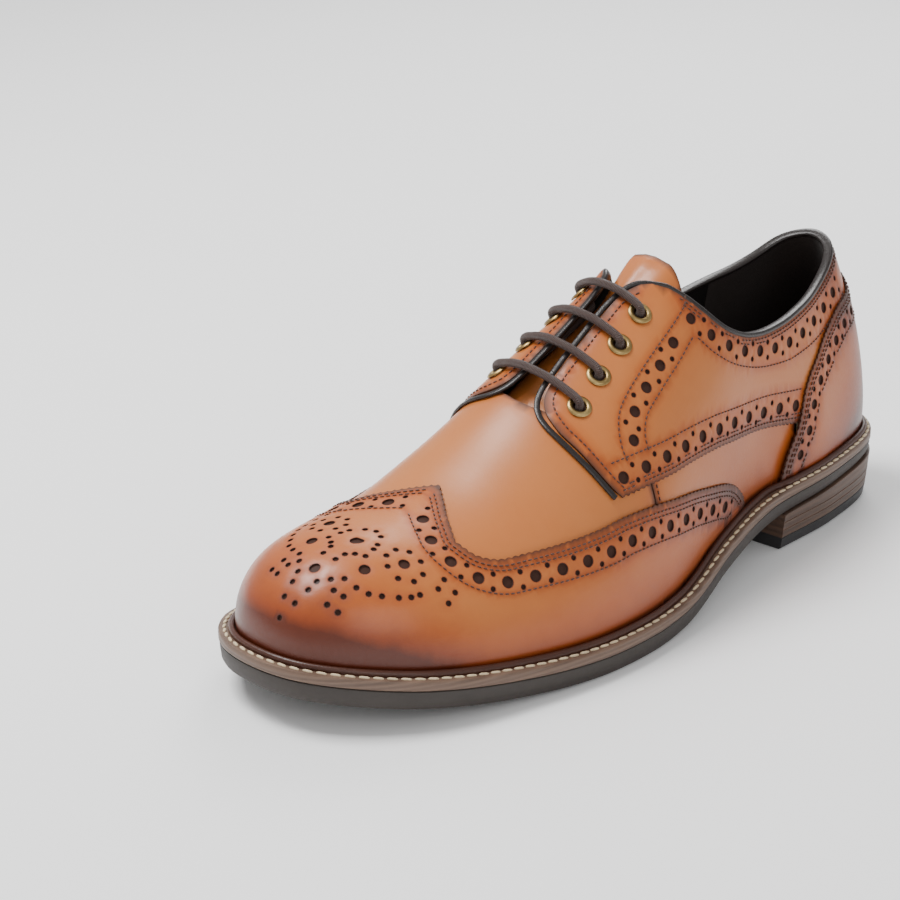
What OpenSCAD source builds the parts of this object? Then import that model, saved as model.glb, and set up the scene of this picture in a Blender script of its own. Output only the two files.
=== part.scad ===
// Leather wingtip lace-up shoe with open lacing, left foot.
// Millimetres, +Z up, toe towards -Y, outer (lateral) side towards +X.
// The upper follows one last surface. A place on it has two numbers:
// a, the distance from the back of the heel along the shoe, and
// t, which runs from 0 on the instep ridge to 1 at the welt.

/* [Overall] */
// Outsole length, heel back to toe tip
shoe_l = 304; // [250:1:360]
// Outsole width at the ball of the foot
ball_w = 107; // [85:1:130]
// Height of the collar at the back of the heel above the floor
collar_h = 101; // [85:1:120]

/* [Sole] */
// Welt thickness
welt_t = 3.6; // [2:0.1:6]
// Outsole thickness under the ball of the foot
outsole_t = 6.6; // [4:0.1:9]
// Height of the heel block at its straight front face
heel_h = 13.8; // [10:0.1:20]
// Distance from the heel back to the heel block's front face
heel_l = 82; // [60:1:95]
// Thickness of the heel's bottom piece
top_piece_t = 4.5; // [3:0.1:7]
// Rise of the toe above the floor
toe_spring = 11.8; // [5:0.1:15]
// Width of the welt ring, outer edge to inner edge
welt_w = 12.4; // [10:0.1:15]

/* [Leather] */
// Lining thickness
lining_t = 0.8; // [0.6:0.1:1.5]
// Outer leather thickness
leather_t = 1.2; // [0.9:0.1:1.8]
// Insole board thickness
insole_t = 2.4; // [1.5:0.1:3.5]
// Sock liner thickness
sock_t = 1.2; // [0.8:0.1:3]

/* [Lacing] */
// Lace diameter
lace_d = 2.6; // [2:0.1:3.5]
// Hole through each eyelet
eyelet_d = 4.4; // [3.8:0.1:6]
// Eyelet flange diameter
flange_d = 8.6; // [7:0.1:11]
// Gap between the tongue and the lining above it
tongue_gap = 4.4; // [4.2:0.1:6]
// Space left between two plies for glue and the turn of the leather
ply_gap = 0.3; // [0.25:0.05:0.6]

/* [Hidden] */

// Scale of the shape against its middle size
ky = shoe_l / 304;
kx = ball_w / 107;
kz = (collar_h - heel_h - 12.4) / 74.8;

// Outline of the sole, [x, a], from the heel back along the lateral side, round the toe and back
OUT = [[0, 0], [25, 13], [34.5, 48], [37, 90], [44.5, 124], [53.5, 160], [56, 197], [50, 235],
    [36.5, 274], [10.5, 300.5], [-21, 301], [-42.5, 282], [-50, 250], [-51, 211], [-42, 170],
    [-30, 130], [-29, 90], [-34, 50], [-27, 14]];
NU = len(OUT);
U_TOE = 9.49;
// Centre of the outline's box, which the frame is built on
CX = 2.25 * kx;
CA = 151.8 * ky;
A_TIP = 303.6 * ky;

// Tables are pairs of distance a and a value
SOLE_Z = [[0, heel_h + 4.2], [60, heel_h + 1.2], [85, heel_h - 0.2], [120, heel_h * 0.69], [160, 1.2],
    [200, 0], [240, toe_spring * 0.2], [270, toe_spring * 0.53], [304, toe_spring]];
SOLE_T = [[0, outsole_t - 2], [45, outsole_t - 1.4], [85, outsole_t - 0.8], [130, outsole_t - 0.2],
    [180, outsole_t], [304, outsole_t]];
// Inset of the last's lower edge from the outline
FEATHER = [[0, 8.6], [110, 8.6], [160, 9.2], [304, 9.2]];
// Ridge of the last: sideways place, height above the welt, cross slope and half width of the flat top
RIDGE_X = [[36, 0], [150, 0], [230, 0], [262, 0], [304, -4.5]];
RIDGE_H = [[36, 86], [60, 90.5], [95, 95], [115, 94], [130, 90.5], [150, 84], [175, 72.5], [190, 64],
    [210, 52.5], [230, 42], [250, 36], [262, 33.5], [304, 27]];
RIDGE_S = [[36, 0], [90, 0], [130, -0.10], [180, -0.16], [230, -0.09], [304, 0]];
RIDGE_W = [[36, 3], [60, 12.5], [90, 15.5], [115, 8.2], [130, 3], [140, 0.5], [150, 0], [155, 0], [304, 0]];
// Fullness of the wall, lateral and medial
TOP_L = [[0, 0.44], [60, 0.12], [110, 0.52], [150, 0.61], [200, 0.62], [262, 0.62], [304, 0.62]];
TOP_M = [[0, 0.44], [60, 0.18], [110, 0.60], [150, 0.78], [200, 0.66], [262, 0.78], [304, 0.62]];
OUT_L = [[0, 4], [45, 3.3], [110, 2.4], [160, 1.3], [210, 1.4], [260, 2], [304, 2]];
OUT_M = [[0, 4], [45, 1.4], [110, -0.5], [160, 0.7], [210, 2.6], [260, 2.9], [304, 2]];
LOW_L = [[0, 0.38], [45, 0.24], [110, 0.49], [160, 0.52], [210, 0.54], [262, 0.56], [304, 0.56]];
LOW_M = [[0, 0.38], [45, 0.30], [110, 0.50], [160, 0.56], [210, 0.56], [262, 0.56], [304, 0.56]];

// Seams, as distance a against t
// Height of the collar above the welt
TOPLINE = [[8.6, 73], [20, 69.5], [33, 65.5], [47, 62.3], [63, 60.5], [78, 59.8], [91, 61], [103, 64.8],
    [113.5, 71.6], [121, 79.5], [127, 86.5], [131, 90], [134, 92]];
// Facing edge of the quarters, below the collar's front corner
FACE_LO = [[133.5, 0.100], [139, 0.072], [150, 0.063], [168, 0.067], [178, 0.078], [182, 0.092],
    [184.8, 0.118], [186.8, 0.160], [187.9, 0.220]];
// Lower gimped edge and rounded front of the quarters
QUARTER_HI = [[67, 0.800], [86, 0.797], [113.5, 0.779], [128.5, 0.745], [148.6, 0.683], [167.5, 0.623],
    [180.5, 0.583], [182.7, 0.555], [184.5, 0.495], [186, 0.430], [187.2, 0.330], [187.9, 0.250]];
// Back edge of the vamp under the quarters
VAMP_LO = [[166, 0.56], [169, 0.48], [173, 0.39], [178, 0.30], [183, 0.20], [186, 0.10], [187, 0.02]];
// Gimped edge of the wings, and of the peak in the middle
WING_LO = [[105, 0.955], [108, 0.925], [115, 0.893], [130, 0.839], [148, 0.765], [168, 0.690], [183, 0.645],
    [195, 0.617], [211, 0.565], [224, 0.511], [232, 0.470], [237.5, 0.410], [240.3, 0.330]];
PEAK_HI = [[224.7, 0.022], [230, 0.085], [235, 0.155], [240.3, 0.260]];
// Front edge of the heel foxing
FOXING_LO = [[8.6, 0.46], [18.6, 0.495], [31, 0.505], [44, 0.549], [57.5, 0.633], [65.4, 0.715],
    [69.3, 0.80], [72.8, 0.85], [78.5, 0.94], [80.3, 0.975]];
// Centre line of the binding from the corner of the collar down the facing and round its front
BIND = [[134.2, 0.078], [136.5, 0.062], [140, 0.052], [146, 0.045], [153, 0.044], [161, 0.045], [169, 0.048],
    [176, 0.055], [181, 0.064], [184.4, 0.078], [187, 0.102], [188.8, 0.138], [189.7, 0.190],
    [189.7, 0.250], [189.2, 0.320], [188.2, 0.390], [187, 0.450], [185.6, 0.510], [183.8, 0.565]];
// Eyelets, bottom to top
EYELETS = [[177.5, 0.225], [165.5, 0.205], [153, 0.196], [141, 0.186]];

T0 = 0.02;
TE = 0.997;
seam = 0.35;
hole_gap = 0.3;
sole_gap = 0.25;
barrel_d = eyelet_d + 0.8;
O_LIN = 0;
O_A = lining_t + ply_gap;
O_B = O_A + leather_t - 0.2 + ply_gap;
O_C = O_B + leather_t - 0.2 + ply_gap;
ply = leather_t - 0.2;

// Smooth table lookup
function sec(T, i) = (T[i + 1][1] - T[i][1]) / (T[i + 1][0] - T[i][0]);
function slope(T, i) =
    i == 0 ? sec(T, 0) :
    i == len(T) - 1 ? sec(T, i - 1) :
    let (h0 = T[i][0] - T[i - 1][0], h1 = T[i + 1][0] - T[i][0])
    (sec(T, i - 1) * h1 + sec(T, i) * h0) / (h0 + h1);
function find(T, x, i = 0) = (i >= len(T) - 2 || x < T[i + 1][0]) ? i : find(T, x, i + 1);
function tab(T, x) =
    let (c = min(max(x, T[0][0]), T[len(T) - 1][0]), i = find(T, c), h = T[i + 1][0] - T[i][0])
    let (t = (c - T[i][0]) / h, q = t * t, r = q * t)
    (2 * r - 3 * q + 1) * T[i][1] + (r - 2 * q + t) * h * slope(T, i)
    + (3 * q - 2 * r) * T[i + 1][1] + (r - q) * h * slope(T, i + 1);

// Sole heights at distance a
function zb(a) = max(0, tab(SOLE_Z, a / ky));
function zo(a) = zb(a) + tab(SOLE_T, a / ky);
function zw(a) = zo(a) + welt_t;

// Outline at u, d millimetres inside it
function wrap(i) = (i + 4 * NU) % NU;
function edge(u, d) =
    let (v = u - NU * floor(u / NU), i = floor(v), t = v - i, q = t * t, r = q * t)
    let (p0 = OUT[wrap(i - 1)], p1 = OUT[wrap(i)], p2 = OUT[wrap(i + 1)], p3 = OUT[wrap(i + 2)])
    let (p = 0.5 * (2 * p1 + (p2 - p0) * t + (2 * p0 - 5 * p1 + 4 * p2 - p3) * q + (3 * p1 - p0 - 3 * p2 + p3) * r))
    let (g = (p2 - p0) + 2 * (2 * p0 - 5 * p1 + 4 * p2 - p3) * t + 3 * (3 * p1 - p0 - 3 * p2 + p3) * q)
    let (m = [g[0] * kx, g[1] * ky], l = norm(m))
    [p[0] * kx - d * m[1] / l, p[1] * ky + d * m[0] / l];
function feather(u) = edge(u, tab(FEATHER, edge(u, 0)[1] / ky));

// u on the lateral (side 1) or medial (side -1) edge where the inset edge is at distance a
function seek(a, d, lo, hi, n) =
    n == 0 ? (lo + hi) / 2 :
    let (m = (lo + hi) / 2, f = d < 0 ? feather(m)[1] : edge(m, d)[1])
    f < a ? seek(a, d, m, hi, n - 1) : seek(a, d, lo, m, n - 1);
function u_at(s, side) = seek(s * ky, -1, side > 0 ? 0 : NU, U_TOE, 18);

// The last: one ray from the ridge down to the feather edge
function soft(x) = x > 30 ? x : ln(1 + exp(x));
function along(a) =
    let (lo = 36 + 9 * soft((a - 36) / 9))
    262 - 9 * soft((262 - lo) / 9);
function zr(a) = zw(a) + kz * tab(RIDGE_H, a / ky);
function ray(u) =
    let (f = feather(u), a = f[1], aq = ky * along(a / ky), n = aq / ky, s = a / ky, xq = kx * tab(RIDGE_X, n))
    let (dx = f[0] - xq, da = a - aq, R = norm([dx, da]), D = [dx / R, da / R])
    let (z0 = zr(aq), sl = (zr(aq + 1) - zr(aq - 1)) / 2, zf = zw(a))
    let (h = (1 - D[0]) / 2, m = h * h * (3 - 2 * h))
    let (w0 = kx * tab(RIDGE_W, n), w1 = w0 + (R - w0) * (tab(TOP_L, s) * (1 - m) + tab(TOP_M, s) * m))
    let (b = tab(OUT_L, s) * (1 - m) + tab(OUT_M, s) * m, k = tab(LOW_L, s) * (1 - m) + tab(LOW_M, s) * m)
    let (fr = min(1, max(0, (n - 100) / 50)), gx = fr * tab(RIDGE_S, n), ga = fr * sl)
    [[xq, aq], D, [w0, z0], [w1, z0 + (w1 - w0) * (ga * D[1] + gx * D[0])],
        [R + b, zf + k * (z0 - zf)], [R, zf], ga * D[0] - gx * D[1], s];
function height(r, t) = let (s = 1 - t) s * s * s * r[2][1] + 3 * s * s * t * r[3][1] + 3 * s * t * t * r[4][1]
    + t * t * t * r[5][1];
// Point and outward direction at t on a ray
function dirn(r, t) =
    let (s = 1 - t, d = s * s * (r[3] - r[2]) + 2 * s * t * (r[4] - r[3]) + t * t * (r[5] - r[4]), l = norm(d))
    let (nr = -d[1] / l, nz = d[0] / l, k = nz * r[6] * s * s)
    let (v = [r[1][0] * nr + k * r[1][1], -(r[1][1] * nr - k * r[1][0]), nz])
    v / norm(v);
function spot(r, t) =
    let (s = 1 - t, p = s * s * s * r[2] + 3 * s * s * t * r[3] + 3 * s * t * t * r[4] + t * t * t * r[5])
    [r[0][0] + r[1][0] * p[0] - CX, CA - r[0][1] - r[1][1] * p[0], p[1]];
function on(r, t, off) = spot(r, t) + off * dirn(r, t);
function at(s, side, t, off) = on(ray(u_at(s, side)), t, off);
// t where the outer face, at offset off, comes down to just above the welt
function foot(r, off, lo = 0.85, hi = 0.9995, n = 12) =
    n == 0 ? lo :
    let (m = (lo + hi) / 2, p = on(r, m, off))
    p[2] < zw(CA - p[1]) + sole_gap ? foot(r, off, lo, m, n - 1) : foot(r, off, m, hi, n - 1);
// t where a ray passes height z
function t_z(r, z, lo = 0.001, hi = 0.999, n = 14) =
    n == 0 ? (lo + hi) / 2 :
    let (m = (lo + hi) / 2)
    height(r, m) > z ? t_z(r, z, m, hi, n - 1) : t_z(r, z, lo, m, n - 1);
// t of the collar edge, d millimetres below the top of its binding
function t_top(r, d) = r[7] < 133.5 ? t_z(r, zw(r[7] * ky) + kz * tab(TOPLINE, r[7]) - d) : tab(FACE_LO, r[7]);

// Shell between two offsets over a lattice of [ray, t]; M says which cells are there,
// F holds the rays that fan round the toe from the last row
function cell(M, i, k) = i >= 0 && k >= 0 && i < len(M) && k < len(M[0]) && M[i][k];
module ply_shell(V, M, o0, o1, F = []) {
    nr = len(V);
    nc = len(V[0]);
    m = nc / 2;
    nf = len(F);
    base = nr * nc;
    tot = base + nf * m;
    P = [for (r = V) for (g = r) g];
    Q = [for (r = F) for (k = [0 : m - 1]) [r, V[nr - 1][m + k][1]]];
    A = [for (g = concat(P, Q)) g[1] > TE - 0.0001 ? [g[0], foot(g[0], o1)] : g];
    outer = [for (g = A) on(g[0], g[1], o1 + (len(g) > 2 ? g[2] : 0))];
    inner = [for (g = A) on(g[0], g[1], o0 + (len(g) > 2 ? g[2] : 0))];
    id = function (j, k) j == 0 ? (nr - 1) * nc + m + k :
        j == nf + 1 ? (nr - 1) * nc + m - 1 - k : base + (j - 1) * m + k;
    tri = concat(
        [for (i = [0 : nr - 2]) for (k = [0 : nc - 2]) if (cell(M, i, k))
            each [[i * nc + k, (i + 1) * nc + k + 1, (i + 1) * nc + k],
                [i * nc + k, i * nc + k + 1, (i + 1) * nc + k + 1]]],
        nf == 0 ? [] : [for (j = [0 : nf]) for (k = [0 : m - 2])
            each [[id(j, k), id(j + 1, k + 1), id(j + 1, k)], [id(j, k), id(j, k + 1), id(j + 1, k + 1)]]],
        nf == 0 ? [] : [for (j = [1 : nf]) [id(0, 0), id(j, 0), id(j + 1, 0)]]);
    walls = concat(
        [for (i = [0 : nr - 2]) for (k = [0 : nc - 2]) if (cell(M, i, k)) each concat(
            cell(M, i, k - 1) ? [] : [[(i + 1) * nc + k, i * nc + k]],
            cell(M, i, k + 1) ? [] : [[i * nc + k + 1, (i + 1) * nc + k + 1]],
            cell(M, i - 1, k) ? [] : [[i * nc + k, i * nc + k + 1]],
            (cell(M, i + 1, k) || (nf > 0 && i == nr - 2)) ? [] : [[(i + 1) * nc + k + 1, (i + 1) * nc + k]])],
        nf == 0 ? [] : [for (j = [0 : nf]) [id(j, m - 1), id(j + 1, m - 1)]]);
    polyhedron(
        points = concat(outer, inner),
        faces = concat(
            tri,
            [for (f = tri) [f[0] + tot, f[2] + tot, f[1] + tot]],
            [for (w = walls) each [[w[0], w[1] + tot, w[1]], [w[0], w[0] + tot, w[1] + tot]]]),
        convexity = 8);
}
function full(V) = [for (i = [0 : len(V) - 2]) [for (k = [0 : len(V[0]) - 2]) true]];
// Row of n cells from t a to t b on a ray; a medial row is taken the other way by its lattice
function row(r, a, b, n) = [for (k = [0 : n]) [r, a + (b - a) * k / n]];
function flip(L) = [for (i = [len(L) - 1 : -1 : 0]) L[i]];
// Row across the shoe: medial side up to the ridge, then down the lateral side
function rib(s, tm, tl, n) = concat(flip(row(ray(u_at(s, -1)), tm[0], tm[1], n)), row(ray(u_at(s, 1)), tl[0], tl[1], n));

// Loft through rings of points
module loft(S, closed = false) {
    n = len(S);
    m = len(S[0]);
    polyhedron(
        points = [for (s = S) for (p = s) p],
        faces = concat(
            [for (i = [0 : n - (closed ? 1 : 2)]) for (k = [0 : m - 1]) let (j = (i + 1) % n, l = (k + 1) % m)
                each [[i * m + k, j * m + l, j * m + k], [i * m + k, i * m + l, j * m + l]]],
            closed ? [] : [for (k = [1 : m - 2]) [0, k + 1, k]],
            closed ? [] : [for (k = [1 : m - 2]) [(n - 1) * m, (n - 1) * m + k, (n - 1) * m + k + 1]]),
        convexity = 8);
}

// Slab of the sole between heights f0 and f1, inset d0 below and d1 above, from a0 to a1
function spread(j, n) = (1 - cos(180 * j / n)) / 2;
function side_pt(a, d, side, z) =
    let (p = edge(seek(a, d, side > 0 ? 0 : NU, U_TOE, 22), d))
    [p[0] - CX, CA - a, z];
function station(d0, d1, l0, h0, l1, h1, j, n, f0, f1) =
    let (b = l0 + (h0 - l0) * spread(j, n), c = l1 + (h1 - l1) * spread(j, n))
    [side_pt(b, d0, 1, f0(b)), side_pt(b, d0, -1, f0(b)), side_pt(c, d1, -1, f1(c)), side_pt(c, d1, 1, f1(c))];
module slab(d0, d1, f0, f1, a1 = 0, n = 28) {
    h0 = a1 > 0 ? a1 : A_TIP - d0 - 0.15;
    h1 = a1 > 0 ? a1 : A_TIP - d1 - 0.15;
    loft([for (j = [0 : n]) station(d0, d1, d0 + 0.15, h0, d1 + 0.15, h1, j, n, f0, f1)]);
}
// Heel block levels and taper
heel_a = heel_l * ky;
lift_1 = top_piece_t + (heel_h - top_piece_t) * 0.34;
lift_2 = top_piece_t + (heel_h - top_piece_t) * 0.67;
function taper(z) = 1.5 * (1 - z / (heel_h + 2));

module outsole() color([0.20, 0.20, 0.21])
    slab(0.8, 0, function (a) zb(a), function (a) zo(a), n = 60);
module heel_top_piece() color([0.17, 0.17, 0.18])
    slab(taper(0), taper(top_piece_t), function (a) 0, function (a) top_piece_t, heel_a, 14);
module heel_lift_lower() color([0.33, 0.24, 0.20])
    slab(taper(top_piece_t), taper(lift_1), function (a) top_piece_t, function (a) lift_1, heel_a, 14);
module heel_lift_middle() color([0.36, 0.26, 0.21])
    slab(taper(lift_1), taper(lift_2), function (a) lift_1, function (a) lift_2, heel_a, 14);
module heel_lift_upper() color([0.33, 0.24, 0.20])
    slab(taper(lift_2), taper(heel_h + 2), function (a) lift_2, function (a) zb(a) - 0.05, heel_a, 14);

// Welt ring
function ring_pt(u, d, f) = let (p = edge(u, d)) [p[0] - CX, CA - p[1], f(p[1])];
module welt() color([0.42, 0.31, 0.24])
    loft([for (j = [0 : 75]) let (u = (j + 0.5) * NU / 76) [
        ring_pt(u, 0, function (a) zo(a) + 0.2), ring_pt(u, welt_w, function (a) zo(a) + 0.2),
        ring_pt(u, welt_w, function (a) zw(a)), ring_pt(u, 0, function (a) zw(a))]], true);
// Outsole stitching: one strand that lies on the welt
THREAD_IN = [[0, 0.85], [60, 0.85], [76, 0.85], [90, 1.5], [150, 2], [304, 2]];
module welt_thread() color([0.87, 0.80, 0.66])
    loft([for (j = [0 : 75]) let (u = (j + 0.5) * NU / 76, d = tab(THREAD_IN, edge(u, 0)[1] / ky)) [
        ring_pt(u, d - 0.4, function (a) zw(a) + 0.05), ring_pt(u, d + 0.4, function (a) zw(a) + 0.05),
        ring_pt(u, d + 0.4, function (a) zw(a) + 0.65), ring_pt(u, d - 0.4, function (a) zw(a) + 0.65)]], true);
// Raised bead between the welt and the upper
RAND_IN = [[0, 2.5], [60, 2.5], [68, 2.5], [76, 2.5], [84, 4.6], [98, 4.6], [108, 4.2], [150, 4.2], [304, 4.2]];
rand_w = 1.9;
rand_h = 2.2;
module rand() color([0.25, 0.13, 0.10])
    loft([for (j = [0 : 75]) let (u = (j + 0.5) * NU / 76, d = tab(RAND_IN, edge(u, 0)[1] / ky)) [
        ring_pt(u, d - rand_w / 2, function (a) zw(a) + 0.05),
        ring_pt(u, d + rand_w / 2 - 0.3, function (a) zw(a) + 0.05),
        ring_pt(u, d + rand_w / 2 - 0.3, function (a) zw(a) + rand_h * 0.75),
        ring_pt(u, d, function (a) zw(a) + rand_h),
        ring_pt(u, d - rand_w / 2, function (a) zw(a) + rand_h * 0.6)]], true);

// Inside of the bottom
shank_w = 15;
shank_t = 1.4;
shank_a0 = 58;
shank_a1 = 148;
module cork_filler() color([0.72, 0.55, 0.36])
    difference() {
        slab(welt_w + 0.4, welt_w + 0.4, function (a) zo(a) + 0.3, function (a) zw(a) - 0.05, n = 30);
        shank_body(0.25);
    }
module shank_body(g) {
    loft([for (j = [0 : 6]) let (a = (shank_a0 - g + (shank_a1 - shank_a0 + 2 * g) * j / 6) * ky, z = zw(a) - 0.05) [
        [shank_w / 2 + g - CX, CA - a, z - shank_t - 0.1 - g], [-shank_w / 2 - g - CX, CA - a, z - shank_t - 0.1 - g],
        [-shank_w / 2 - g - CX, CA - a, z - 0.1 + 4 * g], [shank_w / 2 + g - CX, CA - a, z - 0.1 + 4 * g]]]);
}
module shank() color([0.55, 0.57, 0.60])
    shank_body(0);
insole_in = 10.2;
module insole() color([0.78, 0.64, 0.46])
    slab(insole_in, insole_in + 0.4, function (a) zw(a) + 0.2, function (a) zw(a) + insole_t, n = 30);
module sock_liner() color([0.16, 0.12, 0.11])
    slab(insole_in + 0.6, insole_in + 0.8, function (a) zw(a) + insole_t + 0.05,
        function (a) zw(a) + insole_t + sock_t, n = 30);

// Lining
function rays(S, side) = [for (s = S) ray(u_at(s, side))];
BACK = [for (u = [-0.9 : 0.3 : 0.9]) ray(u)];
FORE = [187, 193, 202, 211, 220, 230, 240, 249, 258, 267, 276, 285];
U_FAN = [u_at(285, 1), u_at(285, -1)];
TOE_FAN = [for (j = [1 : 13]) ray(U_FAN[0] + (U_FAN[1] - U_FAN[0]) * j / 14)];
THROAT = [166, 169, 173, 178, 183, 186];
// Transverse rows; behind the throat the two sides stay apart
module vamp_shell(S, o0, o1, fan) {
    n = 10;
    lo = [for (s = S) s < 187 ? tab(VAMP_LO, s) : T0];
    V = [for (i = [0 : len(S) - 1]) rib(S[i], [lo[i], TE], [lo[i], TE], n)];
    M = [for (i = [0 : len(S) - 2]) [for (k = [0 : 2 * n]) k != n || S[i] >= 187]];
    ply_shell(V, M, o0, o1, fan);
}
module vamp_lining() color([0.12, 0.11, 0.11])
    vamp_shell(concat(THROAT, FORE), O_LIN, O_LIN + lining_t, TOE_FAN);

// One side of the shoe: an upper field from lo to mid, and a lower one to hi on the rays before the cut
module side_shell(side, R, lo, mid, hi, cut, n, m, o0, o1) {
    L = [for (i = [0 : len(R) - 1]) concat(row(R[i], lo[i], mid[i], n), row(R[i], mid[i] + 0.012, hi[i], m))];
    K = [for (i = [0 : len(R) - 2]) [for (k = [0 : n + m]) k < n || R[i + 1][7] <= cut]];
    ply_shell(side > 0 ? L : flip(L), side > 0 ? K : flip(K), o0, o1);
}
module eyelet_holes(side, d) {
    for (e = EYELETS)
        along_axis(at(e[0], side, e[1], O_B), dirn(ray(u_at(e[0], side)), e[1]))
            cylinder(h = 12, d = d, center = true, $fn = 32);
}
module along_axis(p, n) {
    x = cross([0, 1, 0], n) / norm(cross([0, 1, 0], n));
    y = cross(n, x);
    multmatrix([[x[0], y[0], n[0], p[0]], [x[1], y[1], n[1], p[1]], [x[2], y[2], n[2], p[2]]])
        children();
}
heel_seam = 59;
SIDE_ROWS = [heel_seam, 67.5, 74, 80, 88, 97, 107, 115, 122, 128, 133, 139, 147, 156, 165.6];
QL_ROWS = concat(SIDE_ROWS, [169, 173, 178, 181.5]);
module quarter_lining(side) {
    R = rays(QL_ROWS, side);
    difference() {
        side_shell(side, R, [for (r = R) t_top(r, 2.3)],
            [for (s = QL_ROWS) s < 166 ? 0.535 : tab(VAMP_LO, s) - 0.02], [for (s = QL_ROWS) TE], 165.7, 7, 5,
            O_LIN, O_LIN + lining_t);
        eyelet_holes(side, barrel_d + 2 * hole_gap);
    }
}
module lateral_quarter_lining() color([0.12, 0.11, 0.11])
    quarter_lining(1);
module medial_quarter_lining() color([0.12, 0.11, 0.11])
    quarter_lining(-1);
// Rays from the medial side round the back of the heel to the lateral side
function heel_rays(S) = concat(rays(flip(S), -1), BACK, rays(S, 1));
module heel_shell(S, d, m, o0, o1) {
    V = [for (r = heel_rays(S)) row(r, t_top(r, d), TE, m)];
    ply_shell(V, full(V), o0, o1);
}
module heel_grip() color([0.24, 0.17, 0.14])
    heel_shell([26, 34, 43, 51, heel_seam - seam], 2.3, 11, O_LIN, O_LIN + lining_t);

// Hidden plies
module toe_puff() color([0.80, 0.72, 0.58]) {
    V = [for (s = [249, 258, 267, 276, 285]) rib(s, [T0, TE], [T0, TE], 10)];
    ply_shell(V, full(V), O_A, O_A + ply, TOE_FAN);
}
module heel_stiffener() color([0.80, 0.72, 0.58])
    heel_shell([26, 34, 43, 51, 59, 67.5 - seam], 2.8, 10, O_A, O_A + ply);
PANEL_ROWS = [67.5, 74, 80, 88, 97, 107, 115, 122, 128, 133, 139, 147, 156, 165.6];
module side_panel(side) {
    R = rays(PANEL_ROWS, side);
    L = [for (i = [0 : len(R) - 1]) row(R[i], tab(QUARTER_HI, PANEL_ROWS[i]) - 0.06, TE, 5)];
    ply_shell(side > 0 ? L : flip(L), full(L), O_A, O_A + ply);
}
module lateral_side_panel() color([0.66, 0.36, 0.18])
    side_panel(1);
module medial_side_panel() color([0.66, 0.36, 0.18])
    side_panel(-1);
INTER_ROWS = concat(PANEL_ROWS, [169, 173, 178, 181.5]);
module interlining(side) {
    R = rays(INTER_ROWS, side);
    L = [for (i = [0 : len(R) - 1]) let (s = INTER_ROWS[i])
        row(R[i], t_top(R[i], 2.8), s < 166 ? tab(QUARTER_HI, s) - 0.072 - (s > 160 ? 0.012 : 0) : tab(VAMP_LO, s) - 0.02, 8)];
    difference() {
        ply_shell(side > 0 ? L : flip(L), full(L), O_A, O_A + ply);
        eyelet_holes(side, barrel_d + 2 * hole_gap);
    }
}
module lateral_interlining() color([0.80, 0.72, 0.58])
    interlining(1);
module medial_interlining() color([0.80, 0.72, 0.58])
    interlining(-1);

// Outer leather
module vamp() color([0.70, 0.40, 0.21])
    vamp_shell(concat(THROAT, [187, 193, 202, 211, 220, 230, 240, 248.5]), O_A, O_A + ply, []);
CAP_ROWS = [105, 108, 115, 124, 134, 145, 156, 168, 179, 190, 201, 211, 219, 225.6, 230, 235, 240.3,
    249, 258, 267, 276, 285];
module wing_cap() color([0.66, 0.35, 0.16]) {
    np = 3;
    nw = 8;
    half = function (s, side) let (r = ray(u_at(s, side)))
        s > 240 ? concat(row(r, T0, 0.28, np), row(r, 0.32, TE, nw)) :
        concat(row(r, T0, tab(PEAK_HI, s) + 0.008, np), row(r, tab(WING_LO, s), TE, nw));
    V = [for (s = CAP_ROWS) concat(flip(half(s, -1)), half(s, 1))];
    m = np + nw + 1;
    // Cells between the peak and a wing, and those behind the peak's tip, are left out
    M = [for (i = [0 : len(CAP_ROWS) - 2]) let (s = CAP_ROWS[i]) [for (k = [0 : 2 * m])
        let (q = abs(k - m)) s > 240 ? true : (q > np + 1 ? true : q == np + 1 ? false : s > 225)]];
    ply_shell(V, M, O_B, O_B + ply, TOE_FAN);
}
U_BACK = [0.03, 0.3, 0.6, 0.9];
Q_ROWS = [26, 34, 43, 51, 59, 67.5, 74, 80, 88, 97, 107, 115, 122, 128, 133, 139, 147, 156, 167.5, 175,
    180.5, 182.7, 184.5, 186, 187.2, 187.9];
module quarter(side) {
    R = concat([for (u = U_BACK) ray(side > 0 ? u : NU - u)], rays(Q_ROWS, side));
    mid = [for (r = R) tab(QUARTER_HI, r[7])];
    difference() {
        side_shell(side, R, [for (r = R) t_top(r, 2.3)], mid, [for (r = R) TE], 68, 8, 3, O_B, O_B + ply);
        eyelet_holes(side, barrel_d + 2 * hole_gap);
    }
}
module lateral_quarter() color([0.66, 0.35, 0.16])
    quarter(1);
module medial_quarter() color([0.66, 0.35, 0.16])
    quarter(-1);
module heel_foxing() color([0.58, 0.28, 0.12]) {
    V = [for (r = heel_rays([26, 34, 43, 51, 57.5, 62, 66, 69.3, 72.8, 76, 80.3])) row(r, tab(FOXING_LO, r[7]), TE, 6)];
    ply_shell(V, full(V), O_C, O_C + ply);
}

// Strip or cord swept along points P, with N pointing off the surface; G is [half width, half height] at each
function unit(v) = v / norm(v);
module sweep(P, N, G, m) {
    n = len(P);
    loft([for (i = [0 : n - 1])
        let (T = unit(P[min(i + 1, n - 1)] - P[max(i - 1, 0)]), B = unit(cross(T, N[i])), C = cross(B, T))
        [for (k = [0 : m - 1]) let (f = 360 * (k + 0.5) / m) P[i] + G[i][0] * cos(f) * B + G[i][1] * sin(f) * C]]);
}
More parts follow.
